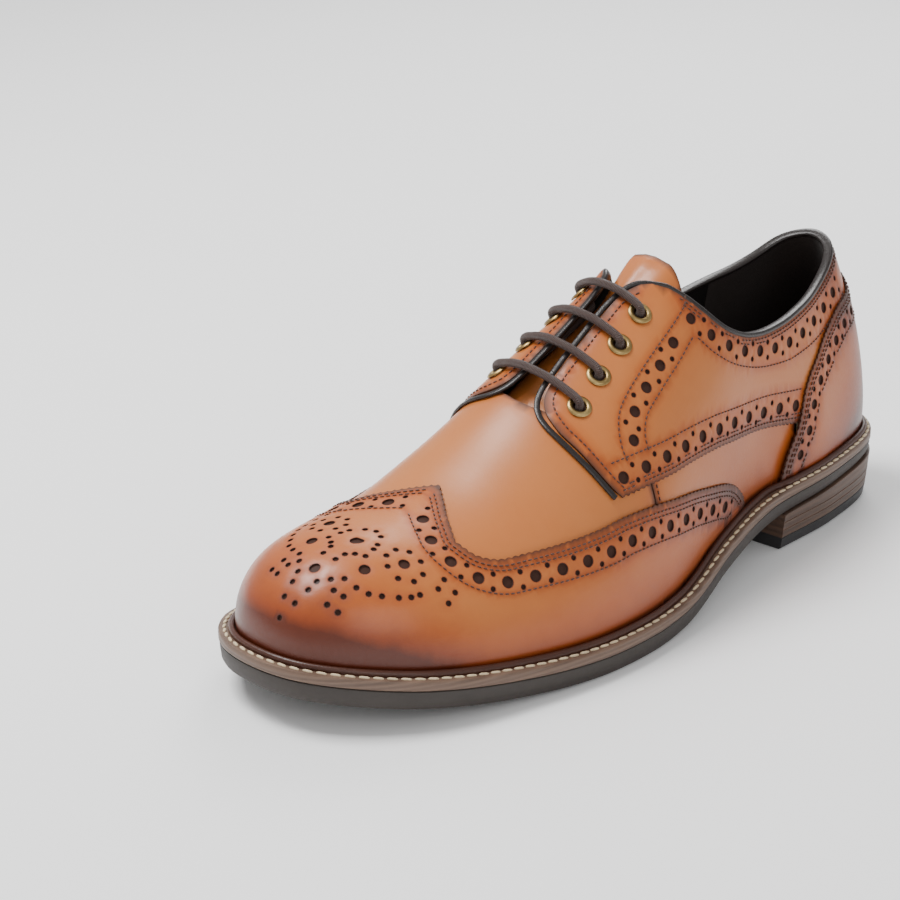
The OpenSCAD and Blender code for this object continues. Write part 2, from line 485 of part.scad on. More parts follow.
// Binding: one strip round the collar and down both facings
COLLAR = [26, 34, 43, 51, 59, 67.5, 74, 80, 88, 97, 103, 109, 115, 119, 122, 125, 128, 130.5, 132.5];
bind_mid = (O_B + ply) / 2;
function facing_run(side) = [for (b = BIND) let (f = min(1, max(0, (b[0] - 134) / 9)))
    [ray(u_at(b[0], side)), b[1], bind_mid + (O_B + 0.55 - bind_mid) * f, 1.0, bind_mid + 0.15 + (0.6 - bind_mid - 0.15) * f]];
function collar_run(R) = [for (r = R) [r, t_top(r, 1.1), bind_mid, 1.0, bind_mid + 0.15]];
module edge_binding() color([0.10, 0.09, 0.09]) {
    H = concat(flip(facing_run(-1)), collar_run(heel_rays(COLLAR)), facing_run(1));
    sweep([for (h = H) on(h[0], h[1], h[2])], [for (h = H) dirn(h[0], h[1])], [for (h = H) [h[3], h[4]]], 8);
}

// Eyelets
flange_t = 0.6;
eyelet_top = O_B + ply + 0.7;
roll_z = -0.6;
module eyelet() rotate_extrude($fn = 32)
    polygon([[eyelet_d / 2, roll_z - 0.3], [barrel_d / 2 + 0.6, roll_z - 0.3], [barrel_d / 2 + 0.6, roll_z],
        [barrel_d / 2, roll_z],
        [barrel_d / 2, eyelet_top], [flange_d / 2, eyelet_top], [flange_d / 2, eyelet_top + flange_t * 0.35],
        [flange_d / 2 - 0.7, eyelet_top + flange_t], [eyelet_d / 2, eyelet_top + flange_t]]);
module eyelets(side) {
    for (e = EYELETS)
        along_axis(at(e[0], side, e[1], 0), dirn(ray(u_at(e[0], side)), e[1]))
            eyelet();
}
module lateral_eyelets() color([0.48, 0.36, 0.20])
    eyelets(1);
module medial_eyelets() color([0.48, 0.36, 0.20])
    eyelets(-1);

// Tongue: it lies under the laces and rises a little behind the facings
TONGUE_ROWS = [[117.6, 0.10], [118.6, 0.19], [120.4, 0.26], [123.5, 0.305], [128, 0.325], [134, 0.325], [141, 0.31],
    [149, 0.29], [157, 0.27], [165, 0.25], [173, 0.235], [181, 0.225], [188, 0.21], [191, 0.20]];
module tongue_shell(o1, o0) {
    n = 5;
    V = [for (e = TONGUE_ROWS) let (x = min(1, max(0, (e[0] - 124) / 14)))
        [for (g = rib(e[0], [T0, e[1]], [T0, e[1]], n)) [g[0], g[1], -tongue_gap * x - 2.2 * (1 - x)]]];
    ply_shell(V, full(V), o0, o1);
}
module tongue() color([0.62, 0.36, 0.20])
    tongue_shell(0, -leather_t);
module tongue_lining() color([0.12, 0.11, 0.11])
    tongue_shell(-leather_t - ply_gap, -leather_t - ply_gap - lining_t);

// Lace: every stop is [side, s, t, height off the lining's face]
lace_up = eyelet_top + flange_t + lace_d / 2 + 0.3;
lace_dn = roll_z - 0.3 - lace_d / 2 - 0.45;
function bar(i, from) = let (e = EYELETS[i], s = e[0], t = e[1]) concat(
    [[from, s, t, roll_z - 0.1], [from, s, t, eyelet_top + 0.8], [from, s, t - 0.010, lace_up - 0.25],
        [from, s, t - 0.034, lace_up],
        [from, s, t * 0.52, lace_up - 0.2], [from, s, 0.055, lace_up - 0.1], [from, s, 0.012, lace_up - 0.1]],
    [[-from, s, 0.012, lace_up - 0.1], [-from, s, 0.055, lace_up - 0.1], [-from, s, t * 0.52, lace_up - 0.2],
        [-from, s, t - 0.034, lace_up], [-from, s, t - 0.010, lace_up - 0.25], [-from, s, t, eyelet_top + 0.8],
        [-from, s, t, roll_z - 0.1]]);
function under(side, i, j, d) = let (p = EYELETS[i], q = EYELETS[j], n = (j - i) * 2) concat(
    [[side, p[0] - 0.3, p[1] + d * 0.1, lace_dn + 0.1]],
    [for (k = [1 : n - 1]) [side, p[0] + (q[0] - p[0]) * k / n, p[1] + (q[1] - p[1]) * k / n + d, lace_dn]],
    [[side, q[0] + 0.3, q[1] + d * 0.1, lace_dn + 0.1]]);
function tuck(i, s1) = let (e = EYELETS[i]) concat(
    [[1, e[0], e[1] + 0.004, lace_dn + 0.1]],
    [for (k = [1 : 8]) [1, e[0] + (s1 - e[0]) * k * k / 64, e[1] + 0.012 + 0.053 * k, lace_dn - 0.2]]);
LACE = concat(flip(tuck(2, 172)), flip(bar(2, -1)), flip(under(-1, 0, 2, 0.045)), bar(0, -1),
    under(1, 0, 1, 0), bar(1, 1), under(-1, 1, 3, -0.042), bar(3, -1), tuck(3, 128));
module lace() color([0.18, 0.10, 0.07]) {
    R = [for (p = LACE) ray(u_at(p[1], p[0]))];
    P = [for (i = [0 : len(LACE) - 1]) on(R[i], LACE[i][2], LACE[i][3])];
    sweep(P, [for (i = [0 : len(LACE) - 1]) unit([0.13, 0.97, 0.2])], [for (p = P) [lace_d / 2, lace_d / 2]], 8);
}

outsole();
heel_top_piece();
heel_lift_lower();
heel_lift_middle();
heel_lift_upper();
welt();
welt_thread();
rand();
cork_filler();
shank();
insole();
sock_liner();
vamp_lining();
lateral_quarter_lining();
medial_quarter_lining();
heel_grip();
toe_puff();
heel_stiffener();
lateral_interlining();
medial_interlining();
vamp();
lateral_side_panel();
medial_side_panel();
wing_cap();
lateral_quarter();
medial_quarter();
heel_foxing();
edge_binding();
lateral_eyelets();
medial_eyelets();
tongue();
tongue_lining();
lace();
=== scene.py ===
"""A left leather wingtip shoe with open lacing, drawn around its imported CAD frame."""

import math

import bpy
import numpy as np
from bpy.props import FloatProperty, FloatVectorProperty, PointerProperty
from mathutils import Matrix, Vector
from mathutils.geometry import delaunay_2d_cdt


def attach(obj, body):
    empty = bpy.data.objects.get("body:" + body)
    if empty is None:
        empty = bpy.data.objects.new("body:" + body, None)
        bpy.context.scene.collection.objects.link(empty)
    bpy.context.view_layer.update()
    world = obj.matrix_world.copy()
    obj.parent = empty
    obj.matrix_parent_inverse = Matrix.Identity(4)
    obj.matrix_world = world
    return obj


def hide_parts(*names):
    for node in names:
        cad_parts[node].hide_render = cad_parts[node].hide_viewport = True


bl_info = {
    "name": "Wingtip shoe",
    "version": (1, 0, 0),
    "blender": (4, 5, 0),
    "location": "View3D > Sidebar > Shoe",
    "description": "Builds the leather, stitching, lacing, sole and stage of a wingtip shoe",
    "category": "Object",
}

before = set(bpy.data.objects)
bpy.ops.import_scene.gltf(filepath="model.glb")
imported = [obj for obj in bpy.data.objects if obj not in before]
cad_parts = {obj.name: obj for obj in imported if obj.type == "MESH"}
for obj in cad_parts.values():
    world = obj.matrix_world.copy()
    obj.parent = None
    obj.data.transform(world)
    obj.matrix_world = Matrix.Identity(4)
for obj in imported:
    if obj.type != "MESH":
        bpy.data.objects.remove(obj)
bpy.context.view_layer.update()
MM = 0.001

# ---------------------------------------------------------------- the last
OUTLINE = np.array([(0, 0), (25, 13), (34.5, 48), (37, 90), (44.5, 124), (53.5, 160), (56, 197), (50, 235),
                    (36.5, 274), (10.5, 300.5), (-21, 301), (-42.5, 282), (-50, 250), (-51, 211), (-42, 170),
                    (-30, 130), (-29, 90), (-34, 50), (-27, 14)], float)
TURNS = len(OUTLINE)
TOE_U = 9.49
CENTRE_X, CENTRE_A = 2.25, 151.8
HEEL_H, TOE_SPRING = 13.8, 11.8
SOLE_Z = ([0, 60, 85, 120, 160, 200, 240, 270, 304],
          [HEEL_H + 4.2, HEEL_H + 1.2, HEEL_H - 0.2, HEEL_H * 0.69, 1.2, 0, TOE_SPRING * 0.2,
           TOE_SPRING * 0.53, TOE_SPRING])
SOLE_T = ([0, 45, 85, 130, 180, 304], [4.6, 5.2, 5.8, 6.4, 6.6, 6.6])
WELT_T = 3.6
FEATHER = ([0, 110, 160, 304], [8.6, 8.6, 9.2, 9.2])
RIDGE_X = ([36, 150, 230, 262, 304], [0, 0, 0, 0, -4.5])
RIDGE_H = ([36, 60, 95, 115, 130, 150, 175, 190, 210, 230, 250, 262, 304],
           [86, 90.5, 95, 94, 90.5, 84, 72.5, 64, 52.5, 42, 36, 33.5, 27])
RIDGE_S = ([36, 90, 130, 180, 230, 304], [0, 0, -0.10, -0.16, -0.09, 0])
RIDGE_W = ([36, 60, 90, 115, 130, 140, 150, 155, 304], [3, 12.5, 15.5, 8.2, 3, 0.5, 0, 0, 0])
WALL_A = [0, 60, 110, 150, 200, 262, 304]
TOP_L = (WALL_A, [0.44, 0.12, 0.52, 0.61, 0.62, 0.62, 0.62])
TOP_M = (WALL_A, [0.44, 0.18, 0.60, 0.78, 0.66, 0.78, 0.62])
BULGE_A = [0, 45, 110, 160, 210, 260, 304]
BULGE_L = (BULGE_A, [4.0, 3.3, 2.4, 1.3, 1.4, 2.0, 2.0])
BULGE_M = (BULGE_A, [4.0, 1.4, -0.5, 0.7, 2.6, 2.9, 2.0])
LOW_A = [0, 45, 110, 160, 210, 262, 304]
LOW_L = (LOW_A, [0.38, 0.24, 0.49, 0.52, 0.54, 0.56, 0.56])
LOW_M = (LOW_A, [0.38, 0.30, 0.50, 0.56, 0.56, 0.56, 0.56])
HEEL_POLE, TOE_POLE, POLE_SOFT = 36.0, 262.0, 9.0


def table(T, x):
    """Smooth lookup in a table of places and values."""
    xs, ys = np.asarray(T[0], float), np.asarray(T[1], float)
    x = np.clip(np.asarray(x, float), xs[0], xs[-1])
    h = np.diff(xs)
    d = np.diff(ys) / h
    m = np.empty(len(xs))
    m[0], m[-1] = d[0], d[-1]
    m[1:-1] = (d[:-1] * h[1:] + d[1:] * h[:-1]) / (h[:-1] + h[1:])
    i = np.clip(np.searchsorted(xs, x, side="right") - 1, 0, len(xs) - 2)
    t = (x - xs[i]) / h[i]
    q, r = t * t, t * t * t
    return ((2 * r - 3 * q + 1) * ys[i] + (r - 2 * q + t) * h[i] * m[i] + (3 * q - 2 * r) * ys[i + 1]
            + (r - q) * h[i] * m[i + 1])


def pairs(*rows):
    """A table written as rows of (place, value)."""
    return [r[0] for r in rows], [r[1] for r in rows]


def outline(u, inset=0.0):
    """Point (x, a) on the sole's outline, moved inwards by the inset."""
    u = np.mod(np.asarray(u, float), TURNS)
    i = np.floor(u).astype(int) % TURNS
    t = (u - np.floor(u))[..., None]
    p0, p1, p2, p3 = OUTLINE[(i - 1) % TURNS], OUTLINE[i], OUTLINE[(i + 1) % TURNS], OUTLINE[(i + 2) % TURNS]
    p = 0.5 * (2 * p1 + (p2 - p0) * t + (2 * p0 - 5 * p1 + 4 * p2 - p3) * t ** 2
               + (3 * p1 - p0 - 3 * p2 + p3) * t ** 3)
    g = (p2 - p0) + 2 * (2 * p0 - 5 * p1 + 4 * p2 - p3) * t + 3 * (3 * p1 - p0 - 3 * p2 + p3) * t ** 2
    g = g / np.linalg.norm(g, axis=-1, keepdims=True)
    n = np.stack([g[..., 1], -g[..., 0]], -1)
    return p - n * np.asarray(inset, float)[..., None]


def sole_bottom(a):
    return np.maximum(0, table(SOLE_Z, a))


def sole_top(a):
    return sole_bottom(a) + table(SOLE_T, a)


def welt_top(a):
    return sole_top(a) + WELT_T


def feather(u):
    return outline(u, table(FEATHER, outline(u)[..., 1]))


def soften(x):
    return np.where(x > 30, x, np.log1p(np.exp(np.minimum(x, 30))))


def ridge_place(a):
    lo = HEEL_POLE + POLE_SOFT * soften((a - HEEL_POLE) / POLE_SOFT)
    return TOE_POLE - POLE_SOFT * soften((TOE_POLE - lo) / POLE_SOFT)


def ridge_z(a):
    return welt_top(a) + table(RIDGE_H, a)


def rays(u):
    """The curve from the ridge down to the feather edge at u, as four control points in its own plane."""
    u = np.asarray(u, float)
    f = feather(u)
    a = f[..., 1]
    aq = ridge_place(a)
    xq = table(RIDGE_X, aq)
    d = np.stack([f[..., 0] - xq, a - aq], -1)
    reach = np.linalg.norm(d, axis=-1)
    d = d / reach[..., None]
    z0 = ridge_z(aq)
    rise = (ridge_z(aq + 1) - ridge_z(aq - 1)) / 2
    zf = welt_top(a)
    m = (1 - d[..., 0]) / 2
    m = m * m * (3 - 2 * m)

    def mix(one, other):
        return table(one, a) * (1 - m) + table(other, a) * m

    w0 = table(RIDGE_W, aq)
    w1 = w0 + (reach - w0) * mix(TOP_L, TOP_M)
    b, k2 = mix(BULGE_L, BULGE_M), mix(LOW_L, LOW_M)
    fr = np.clip((aq - 100) / 50, 0, 1)
    gx, ga = fr * table(RIDGE_S, aq), fr * rise
    c0 = np.stack([w0, z0], -1)
    c1 = np.stack([w1, z0 + (w1 - w0) * (ga * d[..., 1] + gx * d[..., 0])], -1)
    c2 = np.stack([reach + b, zf + k2 * (z0 - zf)], -1)
    c3 = np.stack([reach, zf], -1)
    return xq, aq, d, c0, c1, c2, c3, -d[..., 1] * gx + d[..., 0] * ga, a


def last(u, t, off=0.0, with_normal=False):
    """Place in metres at (u, t), off mm outside the last. Below t = 0 it runs in over the flat top."""
    u, t, off = np.broadcast_arrays(np.asarray(u, float), np.asarray(t, float), np.asarray(off, float))
    xq, aq, d, c0, c1, c2, c3, twist, _ = rays(u)
    tt = np.maximum(t, 0)
    T = tt[..., None]
    s = 1 - T
    p = s ** 3 * c0 + 3 * s * s * T * c1 + 3 * s * T * T * c2 + T ** 3 * c3
    p = p + np.stack([c0[..., 0] * np.minimum(t, 0), np.zeros_like(t)], -1)
    g = s * s * (c1 - c0) + 2 * s * T * (c2 - c1) + T * T * (c3 - c2)
    l = np.hypot(g[..., 0], g[..., 1])
    nr, nz = -g[..., 1] / l, g[..., 0] / l
    k = nz * twist * (1 - tt) ** 2
    n = np.stack([d[..., 0] * nr + k * d[..., 1], -(d[..., 1] * nr - k * d[..., 0]), nz], -1)
    n = n / np.linalg.norm(n, axis=-1, keepdims=True)
    y = CENTRE_A - aq - d[..., 1] * p[..., 0]
    q = np.stack([xq + d[..., 0] * p[..., 0] - CENTRE_X, y, p[..., 1]], -1)
    q = (q + off[..., None] * n) * MM
    return (q, n) if with_normal else q


_u = {1: np.linspace(0, TOE_U, 3000), -1: np.linspace(TURNS, TOE_U, 3000)}
_s = {side: np.maximum.accumulate(feather(u)[..., 1]) for side, u in _u.items()}


def u_at(s, side):
    """u where the feather edge of one side (1 lateral, -1 medial) is s millimetres along the shoe."""
    return np.interp(s, _s[side], _u[side])


def station(u):
    """How far along the shoe the feather edge is at u."""
    return feather(u)[..., 1]


def t_at_height(u, z):
    """t where the rays at u pass a height in millimetres."""
    u = np.asarray(u, float)
    lo, hi = np.full(u.shape, 0.001), np.full(u.shape, 0.999)
    for _ in range(22):
        mid = (lo + hi) / 2
        high = last(u, mid)[..., 2] / MM > z
        lo, hi = np.where(high, mid, lo), np.where(high, hi, mid)
    return (lo + hi) / 2


# ---------------------------------------------------------------- heights of the plies above the last
LINING, PLY_A, PLY_B, PLY_C = (0.0, 0.8), (1.1, 2.1), (2.4, 3.4), (3.7, 4.7)

# Seams as (station, t)
TOPLINE = pairs((8.6, 73), (20, 69.5), (33, 65.5), (47, 62.3), (63, 60.5), (78, 59.8), (91, 61), (103, 64.8),
                (113.5, 71.6), (121, 79.5), (127, 86.5), (131, 90), (134, 92))
FACING = pairs((133.5, 0.100), (139, 0.072), (150, 0.063), (168, 0.067), (178, 0.078), (182, 0.092),
               (184.8, 0.118), (186.8, 0.160), (187.9, 0.220))
QUARTER_LOW = pairs((67, 0.800), (86, 0.797), (113.5, 0.779), (128.5, 0.745), (148.6, 0.683), (167.5, 0.623),
                    (180.5, 0.583))
WING = [(240.3, 0.295), (237.9, 0.407), (232.1, 0.477), (224.2, 0.511), (210.8, 0.565), (194.6, 0.617),
        (183.1, 0.643), (168.3, 0.689), (148.1, 0.765), (129.9, 0.839), (114.7, 0.893), (106.7, 0.943),
        (104.8, 0.972), (105.5, 0.997)]
PEAK = [(224.7, 0.0), (229.5, 0.075), (235.1, 0.169), (240.3, 0.295)]
FOXING = pairs((8.6, 0.46), (18.6, 0.495), (31, 0.505), (44, 0.549), (57.5, 0.633), (65.4, 0.715),
               (69.3, 0.80), (72.8, 0.85), (78.5, 0.94), (80.3, 0.997))
EYELETS = [(177.5, 0.225), (165.5, 0.205), (153, 0.196), (141, 0.186)]


def collar_t(u, down=0.0):
    """t of the collar's top edge at u, some millimetres further down."""
    s = station(u)
    a = np.asarray(s)
    t = t_at_height(u, welt_top(a) + table(TOPLINE, a) - down)
    return np.where(a < 133.5, np.where(a > 115, np.maximum(t, 0.10 + 0.003 * down), t), table(FACING, a))


# ---------------------------------------------------------------- curves drawn on the last
def arc(points):
    """Running length along a list of points."""
    d = np.linalg.norm(np.diff(points, axis=0), axis=1)
    return np.concatenate([[0], np.cumsum(d)])


def spline(P, per=14):
    """Smooth curve through rows of (u, t)."""
    P = np.asarray(P, float)
    Q = np.concatenate([2 * P[:1] - P[1:2], P, 2 * P[-1:] - P[-2:-1]])
    out = []
    for i in range(len(P) - 1):
        p0, p1, p2, p3 = Q[i], Q[i + 1], Q[i + 2], Q[i + 3]
        d1, d2 = (p2 - p0) / 2, (p3 - p1) / 2
        t = np.linspace(0, 1, per, endpoint=False)[:, None]
        out.append((2 * t ** 3 - 3 * t ** 2 + 1) * p1 + (t ** 3 - 2 * t ** 2 + t) * d1
                   + (3 * t ** 2 - 2 * t ** 3) * p2 + (t ** 3 - t ** 2) * d2)
    return np.concatenate(out + [P[-1:]])


def evenly(C, step, off=3.0):
    """The same curve with points at an even spacing in millimetres."""
    C = np.asarray(C, float)
    L = arc(last(C[:, 0], C[:, 1], off) / MM)
    n = max(2, int(round(L[-1] / step)))
    x = np.linspace(0, L[-1], n + 1)
    return np.stack([np.interp(x, L, C[:, 0]), np.interp(x, L, C[:, 1])], 1)


def seam(rows, side):
    """(station, t) rows as (u, t) on one side; a negative t lies on the other side of the ridge."""
    rows = np.asarray(rows, float)
    return np.stack([u_at(rows[:, 0], side), rows[:, 1]], 1)


def frame_at(C, off=3.0):
    """Tangents, outward normals and the change of place with u and t along a curve."""
    e, f = 1e-3, 1e-3
    p, n = last(C[:, 0], C[:, 1], off, True)
    du = (last(C[:, 0] + e, C[:, 1], off) - last(C[:, 0] - e, C[:, 1], off)) / (2 * e * MM)
    dt = (last(C[:, 0], C[:, 1] + f, off) - last(C[:, 0], C[:, 1] - f, off)) / (2 * f * MM)
    return p, n, du, dt


def step_by(C, V, off=3.0):
    """Moves curve points by vectors V, in millimetres along the surface."""
    _, _, du, dt = frame_at(C, off)
    a, b, c = (du * du).sum(1), (du * dt).sum(1), (dt * dt).sum(1)
    x, y = (V * du).sum(1), (V * dt).sum(1)
    det = a * c - b * b
    return C + np.stack([(c * x - b * y) / det, (a * y - b * x) / det], 1)


def beside(C, dist, off=3.0):
    """The curve moved sideways; positive goes left of its direction, seen from outside."""
    p, n, _, _ = frame_at(C, off)
    g = np.gradient(p, axis=0)
    g = g / np.linalg.norm(g, axis=1, keepdims=True)
    left = np.cross(n, g)
    return step_by(C, left * np.asarray(dist, float).reshape(-1, 1), off)


TOOTH_PITCH, TOOTH_DEEP = 2.5, 0.75
TOOTH_STEP = 0.42


def gimped(C, off=3.0):
    """A pinked edge: the curve with small rounded teeth."""
    C = evenly(C, TOOTH_PITCH / 6, off)
    L = arc(last(C[:, 0], C[:, 1], off) / MM)
    n = max(1, round(L[-1] / TOOTH_PITCH))
    wave = np.abs(np.sin(math.pi * L / L[-1] * n)) ** 0.7
    return beside(C, TOOTH_DEEP * (wave - 0.5), off)


def disc(c, r, off=3.0, sides=14):
    """A round hole's rim at c = (u, t)."""
    C = np.repeat(np.asarray(c, float)[None], sides, 0)
    _, n, du, _ = frame_at(C[:1], off)
    e1 = du[0] / np.linalg.norm(du[0])
    e2 = np.cross(n[0], e1)
    f = np.arange(sides) * 2 * math.pi / sides
    return step_by(C, r * (np.cos(f)[:, None] * e1 + np.sin(f)[:, None] * e2), off)


def flatten(C):
    """A flat map of the last on which panels are cut."""
    xq, aq, d, c0, _, _, c3, _, _ = rays(C[:, 0])
    r = c0[..., 0] * (1 + np.minimum(C[:, 1], 0)) + np.maximum(C[:, 1], 0) * (c3[..., 0] * 0.6 + 45)
    return np.stack([xq + d[..., 0] * r, aq + d[..., 1] * r], 1)


def grown(rim, by, off):
    """The points of a hole's rim moved outwards."""
    p = last(rim[:, 0], rim[:, 1], off) / MM
    out = p - p.mean(0)
    return step_by(rim, out / np.linalg.norm(out, axis=1, keepdims=True) * by, off)


def inside(P, ring):
    """Which points P are inside the ring."""
    x, y = P[:, 0][:, None], P[:, 1][:, None]
    a, b = ring, np.roll(ring, -1, 0)
    hit = np.zeros(len(P), bool)
    for k in range(0, len(ring), 400):
        a1, b1 = a[k:k + 400], b[k:k + 400]
        cond = (a1[:, 1] > y) != (b1[:, 1] > y)
        with np.errstate(divide="ignore", invalid="ignore"):
            xc = (b1[:, 0] - a1[:, 0]) * (y - a1[:, 1]) / (b1[:, 1] - a1[:, 1]) + a1[:, 0]
        hit ^= (np.sum(cond & (x < xc), 1) % 2).astype(bool)
    return hit


FAR, BATCH = 20.0, 1500


def nearest(P, Q):
    """Distance in millimetres, at most FAR, from points P to the nearest of points Q, both in metres."""
    best = np.full(len(P), FAR)
    if len(Q) == 0:
        return best
    for k in range(0, len(P), BATCH):
        d = np.linalg.norm(P[k:k + BATCH, None] - Q[None], axis=2) / MM
        best[k:k + BATCH] = np.minimum(best[k:k + BATCH], d.min(1))
    return best


# ---------------------------------------------------------------- meshes
def mesh_object(name, verts, faces, body="shoe", replaces=(), attributes=None, smooth=40):
    """An object at the origin from points in metres, riding on a CAD body."""
    data = bpy.data.meshes.new(name)
    data.from_pydata([tuple(v) for v in verts], [], [tuple(int(i) for i in f) for f in faces])
    data.validate()
    for key, values in (attributes or {}).items():
        layer = data.attributes.new(key, "FLOAT", "POINT")
        layer.data.foreach_set("value", np.asarray(values, np.float32))
    obj = bpy.data.objects.new(name, data)
    bpy.context.collection.objects.link(obj)
    bpy.ops.object.select_all(action="DESELECT")
    obj.select_set(True)
    bpy.context.view_layer.objects.active = obj
    bpy.ops.object.shade_smooth_by_angle(angle=math.radians(smooth))
    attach(obj, body)
    if replaces:
        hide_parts(*replaces)
    return obj


def finish_with(obj, *materials):
    obj.data.materials.clear()
    for m in materials:
        obj.data.materials.append(m)
    return obj


HOLE_DEPTH, BURNISH_REACH = 0.8, 7.0


def panel(name, ring, plies, holes=(), rows=(), grain=2.6, replaces=(), body="shoe",
          lift=None, extra=(), band=None):
    """A cut leather panel on the last.

    ring is its outline and holes are rims, as rows of (u, t); rows are stitch lines pressed in."""
    lo, hi = plies
    ring = np.asarray(ring, float)
    flat_ring = flatten(ring)
    us = np.unwrap(ring[:, 0] * 2 * math.pi / TURNS) * TURNS / (2 * math.pi)
    grid_u, grid_t = np.meshgrid(np.arange(us.min(), us.max(), grain / 34.0),
                                 np.linspace(min(0.0, ring[:, 1].min()) + 0.01, 0.995, int(105 / grain)))
    grid = np.stack([grid_u.ravel(), grid_t.ravel()], 1)
    grid[:, 0] += (np.arange(len(grid)) % 2) * 1e-4
    grid = np.concatenate([grid] + [np.asarray(r, float) for r in extra]) if len(extra) else grid
    flat = flatten(grid)
    grid = grid[inside(flat, flat_ring)]
    rims = [np.asarray(h, float) for h in holes]
    line = np.concatenate([np.asarray(r, float) for r in rows]) if len(rows) else np.zeros((0, 2))
    if rims:
        guard = np.concatenate([grown(rim, 0.5, hi) for rim in rims])
        cut = np.concatenate([ring] + rims)
        far = nearest(last(guard[:, 0], guard[:, 1], hi), last(cut[:, 0], cut[:, 1], hi))
        line = np.concatenate([line, guard[(far > 0.36) & inside(flatten(guard), flat_ring)]])
    solid = np.concatenate([ring] + rims + [line])
    away = nearest(last(grid[:, 0], grid[:, 1], hi), last(solid[:, 0], solid[:, 1], hi))
    grid = grid[away > grain * 0.42]
    for rim in rims:
        if len(grid):
            grid = grid[~inside(flatten(grid), flatten(rim))]
        if len(line):
            line = line[~inside(flatten(line), flatten(rim))]
    pts = np.concatenate([ring] + rims + [line, grid])
    loops, at = [], 0
    for part in [ring] + rims:
        loops.append(list(range(at, at + len(part))))
        at += len(part)
    edges = [(l[i], l[(i + 1) % len(l)]) for l in loops for i in range(len(l))]
    flat = flatten(pts)
    _, _, fs, back, _, _ = delaunay_2d_cdt([Vector(p) for p in flat], edges, [], 0, 1e-5)
    to = [b[0] if b else -1 for b in back]
    tris = np.array([[to[i] for i in f] for f in fs if all(to[i] >= 0 for i in f)])
    tris = tris[inside(flat[tris].mean(1), flat_ring)]
    q = flat[tris]
    one_side, other_side = q[:, 1] - q[:, 0], q[:, 2] - q[:, 0]
    area = one_side[:, 0] * other_side[:, 1] - one_side[:, 1] * other_side[:, 0]
    p3, n3 = last(pts[:, 0], pts[:, 1], hi, True)
    r = p3[tris]
    facing = (np.cross(r[:, 1] - r[:, 0], r[:, 2] - r[:, 0]) * n3[tris].mean(1)).sum(1)
    tris[facing < 0] = tris[facing < 0][:, ::-1]
    tris = tris[np.abs(area) > 1e-7]
    mid = flat[tris].mean(1)
    pocket = np.zeros(len(tris), bool)
    for rim in rims:
        pocket |= inside(mid, flatten(rim))
    top, floor = tris[~pocket], tris[pocket]
    n = len(pts)
    edge_d = nearest(p3, p3[:len(ring)])
    hole_d = nearest(p3, p3[len(ring):at]) if rims else np.full(n, FAR)
    sewn = np.concatenate([np.asarray(r, float) for r in rows]) if len(rows) else np.zeros((0, 2))
    row_d = nearest(p3, last(sewn[:, 0], sewn[:, 1], hi)) if len(sewn) else np.full(n, FAR)
    rise = lift(pts) if lift else 0.0
    sink = 0.30 * np.exp(-edge_d / 0.5) + 0.14 * np.exp(-hole_d / 0.5) + 0.16 * np.exp(-(row_d / 0.8) ** 2)
    upper = last(pts[:, 0], pts[:, 1], hi - sink + rise)
    under = last(pts[:, 0], pts[:, 1], lo + rise)
    rim_ids = np.arange(len(ring), at)
    well = last(pts[rim_ids, 0], pts[rim_ids, 1], hi - HOLE_DEPTH + (rise[rim_ids] if lift else 0.0))
    drop = {int(v): 2 * n + k for k, v in enumerate(rim_ids)}
    faces = [tuple(f) for f in top] + [tuple(n + i for i in f[::-1]) for f in tris]
    faces += [tuple(drop[int(i)] for i in f) for f in floor if all(int(i) in drop for i in f)]
    used = {}
    for f in top:
        for a, b in ((f[0], f[1]), (f[1], f[2]), (f[2], f[0])):
            used[(int(a), int(b))] = True
    for a, b in list(used):
        if (b, a) in used:
            continue
        if a in drop and b in drop:
            faces.append((b, a, drop[a], drop[b]))
        elif a < len(ring) and b < len(ring):
            faces.append((b, a, n + a, n + b))
    verts = np.concatenate([upper, under, well])
    wear = np.exp(-edge_d / BURNISH_REACH)
    black = np.exp(-(edge_d / 0.55) ** 2)
    # Near-black round and inside the punched holes: the walls are dyed cut edges, the floors and lips painted
    # shade in the hole.
    hole_rim_dye_and_shade = np.exp(-(hole_d / 0.45) ** 2)
    pressed = np.exp(-(row_d / 0.7) ** 2)
    zero = np.zeros(n)
    one = np.ones(len(rim_ids))
    attributes = {
        "burnish": np.concatenate([wear, wear, one]),
        "cut": np.concatenate([black, zero + 1, one]),
        # punched reaches 1.6 on the hole floors, which are painted near-black as shade inside the holes.
        "punched": np.concatenate([hole_rim_dye_and_shade, zero, one * 1.6]),
        "pressed": np.concatenate([pressed, zero, one]),
        "station": np.concatenate([station(pts[:, 0]), station(pts[:, 0]), station(pts[rim_ids, 0])]) / 300,
        "low": np.concatenate([pts[:, 1], pts[:, 1], pts[rim_ids, 1]]),
        "band": np.concatenate([band(pts), band(pts), one]) if band else np.zeros(2 * n + len(rim_ids)),
    }
    obj = mesh_object(name, verts, faces, body, replaces, attributes, 50)
    return obj


